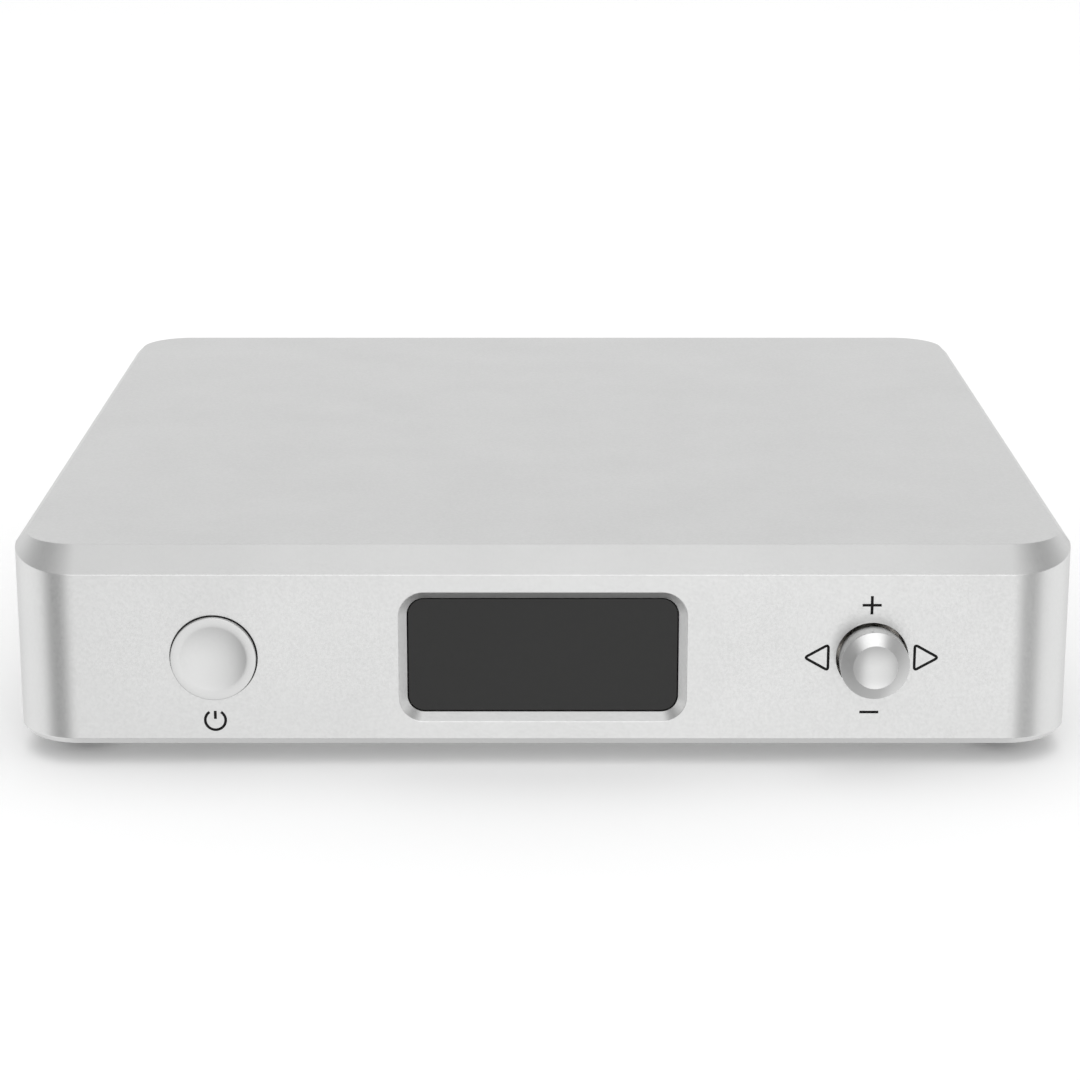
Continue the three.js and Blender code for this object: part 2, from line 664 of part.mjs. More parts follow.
function rearSockets() {
  const group = new THREE.Group();
  group.position.set(0, PANEL_FACE, SOCKET_HEIGHT);
  group.add(piece('rear_panel', anodised, rearPanel()));
  for (const [side, x] of [['left', -PANEL_SCREW_X], ['right', PANEL_SCREW_X]]) {
    const mesh = piece(`rear_screw_${side}`, steel, screw(2.2, 1.3, 1.1, 5), x, GAP);
    mesh.rotation.z = Math.PI;
    group.add(mesh);
  }
  group.add(piece('dc_socket', blackPlastic, dcSocket(), DC_X));
  group.add(piece('dc_pin', nickel, barY(1, -8.9, -0.8, 0, 0, SMALL_SIDES), DC_X));
  group.add(piece('usb_shell', nickel, usbShell(), USB_X));
  group.add(piece('usb_tongue', whitePlastic, usbTongue(), USB_X));
  group.add(piece('optical_socket', blackPlastic, opticalSocket(), OPTICAL_X));
  group.add(piece('optical_shutter', blackPlastic, opticalShutter(), OPTICAL_X));
  for (const [name, x, core] of [
    ['coax', COAX_X, orangePlastic],
    ['rca_right', RCA_RIGHT_X, redPlastic],
    ['rca_left', RCA_LEFT_X, whitePlastic],
  ]) {
    group.add(piece(`${name}_body`, core, phonoBody(), x));
    group.add(piece(`${name}_shell`, gold, phonoShell(), x));
  }
  for (const [side, x] of [['right', BALANCED_RIGHT_X], ['left', BALANCED_LEFT_X]]) {
    group.add(piece(`balanced_${side}_jack`, blackPlastic, balancedJack(), x));
    group.add(piece(`balanced_${side}_nut`, nickel, hexNut(), x));
  }
  return group;
}

// ---------------------------------------------------------------- main board
// In this group z = 0 is the board's upper face.

function mainBoard() {
  const half = BOARD_WIDTH / 2;
  let board = block([-half, half], [BOARD_FRONT, BOARD_BACK], [-BOARD_THICKNESS, 0]);
  for (const y of STANDOFF_ROWS) {
    for (const x of [-STANDOFF_X, STANDOFF_X]) {
      board = board.subtract(barZ(1.4, -BOARD_THICKNESS - OVERCUT, OVERCUT, x, y, SMALL_SIDES));
    }
  }
  return board;
}

// A part that stands on the board, given its footprint and height.
function boardPart(width, depth, height) {
  return block([-width / 2, width / 2], [-depth / 2, depth / 2], [GAP, height]);
}

// The flat cable that runs from the front board down to the main board.
function boardLink() {
  const thickness = 0.3;
  const upper = 4.2;
  const lower = 1.4;
  const start = FRONT_BOARD_DEPTH + BOARD_THICKNESS + 2.9;
  const end = BOARD_FRONT + 3.9;
  return strip([
    [start, upper],
    [start + 2, upper],
    [end - 2, lower],
    [end, lower],
    [end, lower + thickness],
    [end - 2, lower + thickness],
    [start + 2, upper + thickness],
    [start, upper + thickness],
  ], 18);
}

function electronics() {
  const group = new THREE.Group();
  group.position.z = BOARD_TOP;
  group.add(piece('main_board', laminate, mainBoard()));
  let number = 1;
  for (const y of STANDOFF_ROWS) {
    for (const x of [-STANDOFF_X, STANDOFF_X]) {
      const mesh = piece(`board_screw_${number}`, steel, screw(2.1, 1.4, 1, 3.8), x, y, GAP);
      mesh.rotation.x = -Math.PI / 2;
      group.add(mesh);
      number += 1;
    }
  }
  const connectorY = FRONT_BOARD_DEPTH + BOARD_THICKNESS + GAP;
  group.add(piece('front_connector', whitePlastic, block([-11, 11], [0, 2.7], [2.4, 6.2]), 0, connectorY));
  group.add(piece('board_connector', whitePlastic, boardPart(22, 4, 3), 0, BOARD_FRONT + 6));
  group.add(piece('board_link', flexFilm, boardLink()));
  group.add(piece('dac_chip', blackPlastic, boardPart(10, 10, 1.3), 14, 72));
  group.add(piece('processor_chip', blackPlastic, boardPart(14, 14, 1.5), -26, 66));
  group.add(piece('oscillator', nickel, boardPart(5, 3.2, 1.3), -4, 74));
  group.add(piece('power_inductor', steel, boardPart(8, 8, 4), -40, 104));
  group.add(piece('capacitor_1', blackPlastic, barZ(4, GAP, 11, 0, 0, 16), 30, 88));
  group.add(piece('capacitor_2', blackPlastic, barZ(4, GAP, 11, 0, 0, 16), 18, 92));
  return group;
}

// ---------------------------------------------------------------- assembly

const assembly = new THREE.Group();
assembly.add(housing(), frontControls(), rearSockets(), electronics());

// The knob reaches past the front face and the phono sockets past the back.
const frontmost = -NAV_REACH;
const rearmost = PANEL_FACE + RCA_REACH;
assembly.position.set(0, -(frontmost + rearmost) / 2, FOOT_HEIGHT);

const dac = new THREE.Group();
dac.add(assembly);

export default dac;
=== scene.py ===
# Finished look of the desktop converter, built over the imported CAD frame.
# Lengths are in metres; MM turns millimetres into metres.

import json
import math

import bmesh
import bpy
from mathutils import Matrix, Vector


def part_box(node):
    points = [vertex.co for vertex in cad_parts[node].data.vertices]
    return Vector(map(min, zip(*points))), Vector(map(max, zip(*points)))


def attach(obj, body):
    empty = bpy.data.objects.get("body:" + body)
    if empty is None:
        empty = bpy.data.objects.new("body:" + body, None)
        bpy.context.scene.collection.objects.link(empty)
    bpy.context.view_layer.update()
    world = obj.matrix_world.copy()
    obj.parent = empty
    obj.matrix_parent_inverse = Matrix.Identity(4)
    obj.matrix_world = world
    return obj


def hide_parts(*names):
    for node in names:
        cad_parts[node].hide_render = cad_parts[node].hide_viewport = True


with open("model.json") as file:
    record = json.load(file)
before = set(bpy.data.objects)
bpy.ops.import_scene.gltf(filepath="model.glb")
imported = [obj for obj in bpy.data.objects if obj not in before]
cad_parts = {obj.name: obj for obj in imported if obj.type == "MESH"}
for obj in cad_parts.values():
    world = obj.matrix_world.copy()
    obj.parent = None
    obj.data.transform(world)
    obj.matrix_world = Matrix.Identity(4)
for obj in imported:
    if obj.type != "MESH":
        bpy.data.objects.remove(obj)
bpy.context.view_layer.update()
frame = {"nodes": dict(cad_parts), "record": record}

MM = 0.001
TAU = math.tau

# ---- sizes of the finished surface

CORNER_RADIUS = 8.4 * MM
FRONT_CHAMFER = 3.1 * MM
EDGE_CHAMFER = 1.1 * MM
BOTTOM_CHAMFER = 0.9 * MM
TOP_CORNER_DEPTH = 7.5 * MM
SIDE_WALL = 3 * MM
FRONT_WALL = 4 * MM
REAR_WALL = 5 * MM
TOP_WALL = 2.5 * MM
POST_SIZE = 10 * MM
BASE_THICKNESS = 2 * MM
BASE_CORNER_RADIUS = 5.7 * MM
POWER_HOLE_RADIUS = 5.42 * MM
POWER_RADIUS = 5.3 * MM
POWER_DISH_RADIUS = 4.35 * MM
POWER_FLANGE_RADIUS = 6.3 * MM
POWER_STEM_RADIUS = 1.6 * MM
NAV_HOLE_RADIUS = 4.43 * MM
NAV_RIM_RADIUS = 4.27 * MM
NAV_GROOVE_RADIUS = 4.1 * MM
NAV_COLLAR_RADIUS = 4.2 * MM
NAV_NECK_RADIUS = 3.1 * MM
NAV_DISH_RADIUS = 2.75 * MM
WINDOW_RADIUS = 2.0 * MM
WINDOW_BEVEL = 1.03 * MM
CORNER_STEPS = 24
ROUND_SIDES = 96
SMALL_SIDES = 48
PRINT_HEIGHT = 0.02 * MM
GAP = 0.1 * MM
OVERCUT = 1 * MM
MERGE_DISTANCE = 1e-7

# Head radius, head height and shank radius of each kind of screw.
BASE_SCREW = (2.8 * MM, 1.0 * MM, 1.4 * MM)
BOARD_SCREW = (2.1 * MM, 1.4 * MM, 1.0 * MM)
REAR_SCREW = (2.2 * MM, 1.3 * MM, 1.1 * MM)

# Places and names taken from the frame.
CASE_LOW, CASE_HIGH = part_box("case_shell")
FRONT_Y = CASE_LOW.y
BACK_Y = CASE_HIGH.y
CASE_BOTTOM = CASE_LOW.z
CASE_TOP = CASE_HIGH.z
HALF_WIDTH = (CASE_HIGH.x - CASE_LOW.x) / 2


def middle(node):
    low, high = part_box(node)
    return (low + high) / 2


POWER = middle("power_button")
NAV = middle("nav_yoke")
WINDOW_LOW, WINDOW_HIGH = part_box("display_window")
WINDOW = (WINDOW_LOW + WINDOW_HIGH) / 2
WINDOW_WIDTH = WINDOW_HIGH.x - WINDOW_LOW.x
WINDOW_HEIGHT = WINDOW_HIGH.z - WINDOW_LOW.z
PANEL_LOW, PANEL_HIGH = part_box("rear_panel")
PANEL_FACE = PANEL_HIGH.y
PANEL_BACK = PANEL_LOW.y
PANEL_WIDTH = PANEL_HIGH.x - PANEL_LOW.x
PANEL_HEIGHT = PANEL_HIGH.z - PANEL_LOW.z
SOCKET_LINE = (PANEL_LOW.z + PANEL_HIGH.z) / 2


# ---- node materials


class Finish:
    """A Principled material whose bump and colour come from procedural textures in object space."""

    def __init__(self, name, color, roughness, metallic=0.0):
        self.slot = name
        self.material = bpy.data.materials.new(name)
        self.material.use_nodes = True
        self.nodes = self.material.node_tree.nodes
        self.links = self.material.node_tree.links
        self.shader = self.nodes["Principled BSDF"]
        self.shader.inputs["Base Color"].default_value = (*color, 1)
        self.shader.inputs["Roughness"].default_value = roughness
        self.shader.inputs["Metallic"].default_value = metallic
        self.color = color
        self.roughness = roughness
        self.coordinates = self.nodes.new("ShaderNodeTexCoord")
        self.height = None

    def node(self, kind, **settings):
        made = self.nodes.new(kind)
        for key, value in settings.items():
            setattr(made, key, value)
        return made

    def set(self, **sockets):
        for name, value in sockets.items():
            self.shader.inputs[name.replace("_", " ")].default_value = value
        return self

    def noise(self, size, detail=2.0, stretch=(1, 1, 1)):
        """Noise with features about size metres across, stretched along an axis where it is below 1."""
        mapping = self.node("ShaderNodeMapping")
        mapping.inputs["Scale"].default_value = stretch
        self.links.new(self.coordinates.outputs["Object"], mapping.inputs["Vector"])
        noise = self.node("ShaderNodeTexNoise")
        noise.inputs["Scale"].default_value = 1 / size
        noise.inputs["Detail"].default_value = detail
        self.links.new(mapping.outputs["Vector"], noise.inputs["Vector"])
        return noise.outputs["Fac"]

    def spread(self, value, low, high):
        """Maps a 0 to 1 value to the range low to high."""
        ramp = self.node("ShaderNodeMapRange")
        ramp.inputs["From Min"].default_value = 0.3
        ramp.inputs["From Max"].default_value = 0.7
        ramp.inputs["To Min"].default_value = low
        ramp.inputs["To Max"].default_value = high
        self.links.new(value, ramp.inputs["Value"])
        return ramp.outputs["Result"]

    def vary_color(self, value, amount):
        """Lightens and darkens the base colour by a share of itself."""
        mix = self.node("ShaderNodeMix", data_type="RGBA")
        mix.inputs["A"].default_value = (*[c * (1 - amount) for c in self.color], 1)
        mix.inputs["B"].default_value = (*[min(1, c * (1 + amount)) for c in self.color], 1)
        self.links.new(self.spread(value, 0, 1), mix.inputs["Factor"])
        self.links.new(mix.outputs["Result"], self.shader.inputs["Base Color"])
        return self

    def vary_roughness(self, value, amount):
        spread = self.spread(value, self.roughness - amount, self.roughness + amount)
        self.links.new(spread, self.shader.inputs["Roughness"])
        return self

    def bump(self, value, depth, strength=1.0):
        """Adds relief of about depth metres."""
        bump = self.node("ShaderNodeBump")
        bump.inputs["Distance"].default_value = depth
        bump.inputs["Strength"].default_value = strength
        self.links.new(value, bump.inputs["Height"])
        if self.height is not None:
            self.links.new(self.height, bump.inputs["Normal"])
        self.height = bump.outputs["Normal"]
        self.links.new(self.height, self.shader.inputs["Normal"])
        return self


# ---- finishes


def anodised(name, shade, roughness):
    """Bead-blasted and anodised aluminium: a fine pitted grain with faint broad clouding."""
    finish = Finish(name, (shade, shade * 1.003, shade * 0.998), roughness, metallic=1.0)
    finish.vary_color(finish.noise(14 * MM, detail=3), 0.02)
    finish.vary_roughness(finish.noise(0.35 * MM), 0.05)
    finish.bump(finish.noise(0.16 * MM, detail=3), 0.0035 * MM, 0.6)
    return finish


def turned_metal(name, shade, roughness):
    """Anodised aluminium with the faint rings of a lathe tool under the blasting."""
    finish = Finish(name, (shade, shade * 1.003, shade * 0.998), roughness, metallic=1.0)
    finish.vary_color(finish.noise(9 * MM), 0.015)
    finish.vary_roughness(finish.noise(0.3 * MM), 0.02)
    finish.bump(finish.noise(0.12 * MM), 0.0012 * MM, 0.5)
    return finish


def moulded(name, color, roughness=0.5):
    """Injection-moulded plastic with a spark-eroded texture."""
    finish = Finish(name, color, roughness)
    finish.vary_color(finish.noise(6 * MM), 0.06)
    finish.vary_roughness(finish.noise(0.5 * MM), 0.06)
    finish.bump(finish.noise(0.22 * MM, detail=3), 0.01 * MM, 0.5)
    return finish


def plated(name, color, roughness):
    """Plated metal with light handling marks."""
    finish = Finish(name, color, roughness, metallic=1.0)
    finish.vary_color(finish.noise(3 * MM), 0.05)
    finish.vary_roughness(finish.noise(0.8 * MM, detail=4, stretch=(1, 0.2, 1)), 0.05)
    finish.bump(finish.noise(0.5 * MM, detail=3, stretch=(1, 0.15, 1)), 0.0015 * MM, 0.4)
    return finish


def rubbery(name, shade):
    finish = Finish(name, (shade, shade, shade * 1.05), 0.85)
    finish.vary_color(finish.noise(2 * MM), 0.15)
    finish.vary_roughness(finish.noise(0.6 * MM), 0.07)
    finish.bump(finish.noise(0.3 * MM, detail=4), 0.02 * MM, 0.6)
    return finish


def laminate(name):
    """Green solder mask over glass cloth, with copper runs that show through as lighter lines."""
    finish = Finish(name, (0.012, 0.075, 0.03), 0.38)
    runs = finish.node("ShaderNodeTexBrick")
    runs.inputs["Scale"].default_value = 1 / (5 * MM)
    runs.inputs["Mortar Size"].default_value = 0.05
    runs.inputs["Color1"].default_value = (0.012, 0.075, 0.03, 1)
    runs.inputs["Color2"].default_value = (0.014, 0.085, 0.035, 1)
    runs.inputs["Mortar"].default_value = (0.03, 0.16, 0.06, 1)
    finish.links.new(finish.coordinates.outputs["Object"], runs.inputs["Vector"])
    finish.links.new(runs.outputs["Color"], finish.shader.inputs["Base Color"])
    finish.vary_roughness(finish.noise(1.5 * MM), 0.05)
    finish.bump(runs.outputs["Fac"], 0.03 * MM, 0.4)
    return finish


def dark_glass(name):
    """A smoked acrylic window: nearly opaque, with a fine anti-glare surface."""
    finish = Finish(name, (0.0095, 0.0095, 0.0092), 0.32)
    finish.set(IOR=1.4)
    finish.vary_color(finish.noise(20 * MM), 0.05)
    finish.vary_roughness(finish.noise(0.6 * MM), 0.03)
    finish.bump(finish.noise(0.1 * MM), 0.001 * MM, 0.3)
    return finish


def ink(name):
    finish = Finish(name, (0.004, 0.004, 0.004), 0.7)
    finish.set(Specular_IOR_Level=0.2)
    finish.vary_color(finish.noise(0.4 * MM), 0.3)
    finish.bump(finish.noise(0.12 * MM), 0.004 * MM, 0.5)
    return finish


CASE = anodised("case_aluminium", 0.62, 0.36)
CONTROL = turned_metal("control_aluminium", 0.575, 0.3)
PANEL = anodised("panel_aluminium", 0.6, 0.4)
RUBBER = rubbery("foot_rubber", 0.025)
FOAM = rubbery("seal_foam", 0.015)
WINDOW_FINISH = dark_glass("window_glass")
SCREEN = moulded("screen", (0.02, 0.02, 0.022), 0.35)
BOARD = laminate("board_laminate")
BLACK = moulded("black_plastic", (0.02, 0.02, 0.021), 0.48)
WHITE = moulded("white_plastic", (0.72, 0.70, 0.65))
RED = moulded("red_plastic", (0.42, 0.02, 0.02))
ORANGE = moulded("orange_plastic", (0.62, 0.17, 0.02))
FLEX = moulded("flex_film", (0.36, 0.15, 0.02), 0.3)
NICKEL = plated("nickel_plate", (0.66, 0.63, 0.58), 0.24)
GOLD = plated("gold_plate", (0.85, 0.60, 0.25), 0.2)
STEEL = plated("fastener_steel", (0.12, 0.12, 0.125), 0.38)
INK = ink("printed_ink")


# ---- mesh helpers


def finish_mesh(mesh, sharp=math.radians(32)):
    """Smooth shading, with the edges sharper than the given angle kept crisp."""
    build = bmesh.new()
    build.from_mesh(mesh)
    bmesh.ops.remove_doubles(build, verts=build.verts, dist=MERGE_DISTANCE)
    bmesh.ops.recalc_face_normals(build, faces=build.faces)
    for face in build.faces:
        face.smooth = True
    for edge in build.edges:
        if len(edge.link_faces) == 2 and edge.calc_face_angle(0) > sharp:
            edge.smooth = False
    build.to_mesh(mesh)
    build.free()
    return mesh


def add_object(name, data):
    made = bpy.data.objects.new(name, data)
    bpy.context.scene.collection.objects.link(made)
    return made


def mesh_object(name, vertices, faces):
    mesh = bpy.data.meshes.new(name)
    mesh.from_pydata([tuple(v) for v in vertices], [], faces)
    return add_object(name, finish_mesh(mesh))


def piece(made, finish, body, *nodes):
    """Gives the piece its material and its body, and lets it stand for CAD nodes."""
    made.data.materials.clear()
    made.data.materials.append(finish.material)
    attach(made, body)
    if nodes:
        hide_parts(*nodes)
    return made


def loft(name, rings):
    """Joins rings of equal length into a closed solid."""
    count = len(rings[0])
    faces = []
    for start in range(0, (len(rings) - 1) * count, count):
        for i in range(count):
            j = (i + 1) % count
            faces.append((start + i, start + j, start + j + count, start + i + count))
    faces.append(tuple(reversed(range(count))))
    faces.append(tuple(range((len(rings) - 1) * count, len(rings) * count)))
    return mesh_object(name, [point for ring in rings for point in ring], faces)


def soften(profile, radius, steps=4):
    """Rounds the inner corners of a profile of (r, y) points with short arcs."""
    share = 0.45
    nearly_straight = math.radians(12)
    points = [Vector(profile[0])]
    for before, corner, after in zip(profile, profile[1:], profile[2:]):
        corner = Vector(corner)
        back = Vector(before) - corner
        ahead = Vector(after) - corner
        reach = min(radius, back.length * share, ahead.length * share)
        if back.angle(-ahead, 0) < nearly_straight or reach < MERGE_DISTANCE:
            points.append(corner)
            continue
        start = corner + back.normalized() * reach
        end = corner + ahead.normalized() * reach
        for step in range(steps + 1):
            t = step / steps
            points.append(start * (1 - t) ** 2 + corner * 2 * t * (1 - t) + end * t**2)
    points.append(Vector(profile[-1]))
    return points


def turned(name, profile, centre, axis="Y", sides=ROUND_SIDES, closed=False):
    """Turns a profile of (r, along) points about a line through centre along Y or Z."""
    depth = Vector((0, 1, 0))
    height = Vector((0, 0, 1))
    along, upright = (depth, height) if axis == "Y" else (height, depth)
    level = Vector((1, 0, 0))
    vertices = []
    rows = []
    for r, distance in profile:
        base = Vector(centre) + along * distance
        if r < MERGE_DISTANCE:
            rows.append([len(vertices)] * sides)
            vertices.append(base)
            continue
        rows.append(list(range(len(vertices), len(vertices) + sides)))
        for i in range(sides):
            angle = TAU * i / sides
            vertices.append(base + level * r * math.cos(angle) + upright * r * math.sin(angle))
    if closed:
        rows.append(rows[0])
    faces = []
    for low, high in zip(rows, rows[1:]):
        for i in range(sides):
            j = (i + 1) % sides
            corners = []
            for vertex in (low[i], low[j], high[j], high[i]):
                if vertex not in corners:
                    corners.append(vertex)
            if len(corners) > 2:
                faces.append(tuple(corners))
    return mesh_object(name, vertices, faces)


def rounded_rect(width, height, radius, steps=12):
    """Points round a rectangle with round corners, anticlockwise."""
    points = []
    for quarter, (sx, sy) in enumerate([(1, 1), (-1, 1), (-1, -1), (1, -1)]):
        centre = Vector((sx * (width / 2 - radius), sy * (height / 2 - radius)))
        for step in range(steps + 1):
            angle = math.radians(90) * (quarter + step / steps)
            points.append(centre + Vector((math.cos(angle), math.sin(angle))) * radius)
    return points


def circle(radius, sides=ROUND_SIDES, turn=0.0):
    angles = (turn + TAU * index / sides for index in range(sides))
    return [Vector((math.cos(angle), math.sin(angle))) * radius for angle in angles]


def front_ring(points, y, x=0.0, z=0.0):
    """A flat outline set upright, facing the front, at depth y."""
    return [Vector((point.x + x, y, point.y + z)) for point in points]


def plan_ring(points, z, x=0.0, y=0.0):
    return [Vector((point.x + x, point.y + y, z)) for point in points]


def prism_y(name, points, y0, y1, x=0.0, z=0.0):
    return loft(name, [front_ring(points, y0, x, z), front_ring(points, y1, x, z)])


def prism_z(name, points, z0, z1, x=0.0, y=0.0):
    return loft(name, [plan_ring(points, z0, x, y), plan_ring(points, z1, x, y)])


def bar(axis, radius, start, end, place, sides=SMALL_SIDES):
    """A bar along Y or Z from start to end, on the line through place."""
    points = circle(radius, sides)
    if axis == "Y":
        return prism_y("bar", points, start, end, place.x, place.z)
    return prism_z("bar", points, start, end, place.x, place.y)


def box_solid(name, low, high):
    corners = ((low[0], low[1]), (high[0], low[1]), (high[0], high[1]), (low[0], high[1]))
    return prism_z(name, [Vector(corner) for corner in corners], low[2], high[2])


def cut(made, *others, operation="DIFFERENCE"):
    """Cuts the others out of a piece, or combines them another way, and removes them."""
    for other in others:
        modifier = made.modifiers.new("cut", "BOOLEAN")
        modifier.operation = operation
        modifier.solver = "EXACT"
        modifier.object = other
        graph = bpy.context.evaluated_depsgraph_get()
        result = bpy.data.meshes.new_from_object(made.evaluated_get(graph))
        made.modifiers.remove(modifier)
        made.data = result
        bpy.data.objects.remove(other)
    finish_mesh(made.data)
    return made


def join(made, *others):
    return cut(made, *others, operation="UNION")


def soft_edges(made, width, segments=3, angle=30):
    """Rounds a piece's edges a little, so that they catch the light."""
    bevel = made.modifiers.new("soft_edges", "BEVEL")
    bevel.width = width
    bevel.segments = segments
    bevel.limit_method = "ANGLE"
    bevel.angle_limit = math.radians(angle)
    bevel.use_clamp_overlap = False
    bevel.harden_normals = True
    return made


def bowl(radius, depth, face, steps=14):
    """The profile of a shallow dish from its centre to its edge at y = face."""
    return [(radius * i / steps, face + depth * (1 - (i / steps) ** 2)) for i in range(steps + 1)]


# ---- camera, light and floor


def make_camera():
    """Stands in front, level across, and looks down at the case."""
    camera = bpy.data.cameras.new("camera")
    camera.lens = 97.16
    camera.sensor_width = 36.0
    made = add_object("camera", camera)
    distance = 343.3 * MM
    height = 96.5 * MM
    pitch = 0.2703
    made.location = (-0.35 * MM, FRONT_Y - distance, CASE_TOP + height)
    made.rotation_euler = (math.pi / 2 - pitch, 0, 0)
    bpy.context.scene.camera = made
    return made


# Brightness of the studio's four columns of light at each elevation, in degrees above the horizon.
# The front box, the dark gap beside it, the side boxes and the backdrop run into each other.
FRONT_COLUMN = [
    (-90, 0.72), (-50, 0.75), (-30, 1.25), (-18, 1.39), (6, 1.27), (18, 1.75),
    (30, 1.98), (50, 1.98), (62, 1.4), (72, 1.22), (90, 1.06),
]
GAP_COLUMN = [(-90, 0.72), (-18, 0.5), (30, 0.45), (55, 0.5), (72, 1.0), (90, 1.1)]
SIDE_COLUMN = [
    (-90, 0.9), (-65, 1.7), (-40, 1.35), (-18, 1.24), (20, 1.2),
    (35, 0.7), (52, 0.38), (72, 0.98), (90, 1.1),
]
BACK_COLUMN = [(-90, 0.8), (0, 0.98), (20, 1.0), (45, 0.8), (72, 1.08), (90, 1.1)]
FRONT_TO_GAP = (20, 32)
GAP_TO_SIDE = (54, 70)
SIDE_TO_BACK = (110, 150)
RIGHT_BIAS = 0.24
OVERHEAD_SIZE = 2.4
OVERHEAD_HEIGHT = 1.6
OVERHEAD_WATTS = 9.0


def make_light():
    """A soft studio all round, whose brightness is a smooth function of direction."""
    world = bpy.data.worlds.new("studio")
    world.use_nodes = True
    bpy.context.scene.world = world
    bpy.context.scene.view_settings.view_transform = "Standard"
    nodes = world.node_tree.nodes
    links = world.node_tree.links

    def maths(operation, first, second=None):
        node = nodes.new("ShaderNodeMath")
        node.operation = operation
        links.new(first, node.inputs[0])
        if second is not None:
            links.new(second, node.inputs[1])
        return node.outputs["Value"]

    def remap(value, start, end, low=0, high=1, interpolation="LINEAR"):
        node = nodes.new("ShaderNodeMapRange")
        node.interpolation_type = interpolation
        for name, number in zip(("From Min", "From Max", "To Min", "To Max"), (start, end, low, high)):
            node.inputs[name].default_value = number
        links.new(value, node.inputs["Value"])
        return node.outputs["Result"]

    def column(elevation, stops):
        """Half the brightness at an elevation from 0, straight down, to 1, straight up."""
        curve = nodes.new("ShaderNodeFloatCurve")
        points = curve.mapping.curves[0].points
        places = [((degrees + 90) / 180, level / 2) for degrees, level in stops]
        points[0].location = places[0]
        points[1].location = places[-1]
        for place in places[1:-1]:
            points.new(*place)
        for point in points:
            point.handle_type = "VECTOR"
        curve.mapping.update()
        links.new(elevation, curve.inputs["Value"])
        return curve.outputs["Value"]

    def blend(weight, first, second):
        mix = nodes.new("ShaderNodeMix")
        links.new(weight, mix.inputs["Factor"])
        links.new(first, mix.inputs["A"])
        links.new(second, mix.inputs["B"])
        return mix.outputs["Result"]

    direction = nodes.new("ShaderNodeTexCoord").outputs["Generated"]
    split = nodes.new("ShaderNodeSeparateXYZ")
    links.new(direction, split.inputs["Vector"])
    sideways = maths("ABSOLUTE", split.outputs["X"])
    forwards = remap(split.outputs["Y"], -1, 1, 1, -1)
    azimuth = maths("ARCTAN2", sideways, forwards)
    elevation = remap(maths("ARCSINE", split.outputs["Z"]), -math.pi / 2, math.pi / 2)
    right_bias = remap(split.outputs["X"], -1, 1, 1 - RIGHT_BIAS, 1 + RIGHT_BIAS)
    level = column(elevation, FRONT_COLUMN)
    for (start, end), stops in (
        (FRONT_TO_GAP, GAP_COLUMN),
        (GAP_TO_SIDE, SIDE_COLUMN),
        (SIDE_TO_BACK, BACK_COLUMN),
    ):
        weight = remap(azimuth, math.radians(start), math.radians(end), interpolation="SMOOTHSTEP")
        level = blend(weight, level, column(elevation, stops))
        if stops is GAP_COLUMN:
            level = maths("MULTIPLY", level, right_bias)
    links.new(maths("ADD", level, level), nodes["Background"].inputs["Strength"])
    nodes["Background"].inputs["Color"].default_value = (1, 1, 1, 1)

    # A broad overhead panel that lifts the paper and the plastics, and stays out of the metal.
    panel = bpy.data.lights.new("overhead", "AREA")
    panel.shape = "DISK"
    panel.size = OVERHEAD_SIZE
    panel.energy = OVERHEAD_WATTS
    overhead = add_object("overhead", panel)
    overhead.location = (0, 0, OVERHEAD_HEIGHT)
    overhead.visible_glossy = False


def make_floor():
    """A pale paper floor that the metal does not mirror, so that it shows the studio alone."""
    reach = 6.0
    corners = [(-reach, -reach, 0), (reach, -reach, 0), (reach, reach, 0), (-reach, reach, 0)]
    floor = mesh_object("floor", corners, [(0, 1, 2, 3)])
    paper = Finish("floor_paper", (0.93, 0.93, 0.93), 0.9)
    paper.bump(paper.noise(2 * MM, detail=3), 0.02 * MM, 0.3)
    floor.data.materials.append(paper.material)
    floor.visible_glossy = False


# ---- case


def chamfer_drop(depth):
    """Height lost to the top chamfer at a depth behind the front: it narrows round the corners."""
    return FRONT_CHAMFER + (EDGE_CHAMFER - FRONT_CHAMFER) * min(depth / CORNER_RADIUS, 1)


def case_ring(inset, front_inset, front_corner, height_at):
    """A level of the case: inset all round, more at the front, with height_at(depth) as its height."""
    radius = CORNER_RADIUS - inset
    x = HALF_WIDTH - CORNER_RADIUS
    front = FRONT_Y + front_inset + front_corner
    back = BACK_Y - CORNER_RADIUS
    corners = [
        (x, back, radius),
        (-x, back, radius),
        (-x, front, front_corner),
        (x, front, front_corner),
    ]
    points = []
    for quarter, (corner_x, corner_y, depth) in enumerate(corners):
        for step in range(CORNER_STEPS + 1):
            angle = math.radians(90) * (quarter + step / CORNER_STEPS)
            y = corner_y + depth * math.sin(angle)
            points.append(Vector((corner_x + radius * math.cos(angle), y, height_at(y - FRONT_Y))))
    return points


def surround_ring(depth):
    """A level of the display's bevelled surround, at a depth behind the front."""
    grow = WINDOW_BEVEL - depth + GAP
    width = WINDOW_WIDTH + 2 * grow
    outline = rounded_rect(width, WINDOW_HEIGHT + 2 * grow, WINDOW_RADIUS + grow)
    return front_ring(outline, FRONT_Y + depth, WINDOW.x, WINDOW.z)


def hollow_outline():
    """The case's inside in plan: a rectangle less a square post in each corner."""
    x = HALF_WIDTH - SIDE_WALL
    front = FRONT_Y + FRONT_WALL
    back = BACK_Y - REAR_WALL
    post = POST_SIZE
    corners = [
        (-x + post, front), (x - post, front), (x - post, front + post), (x, front + post),
        (x, back - post), (x - post, back - post), (x - post, back), (-x + post, back),
        (-x + post, back - post), (-x, back - post), (-x, front + post), (-x + post, front + post),
    ]
    return [Vector(corner) for corner in corners]


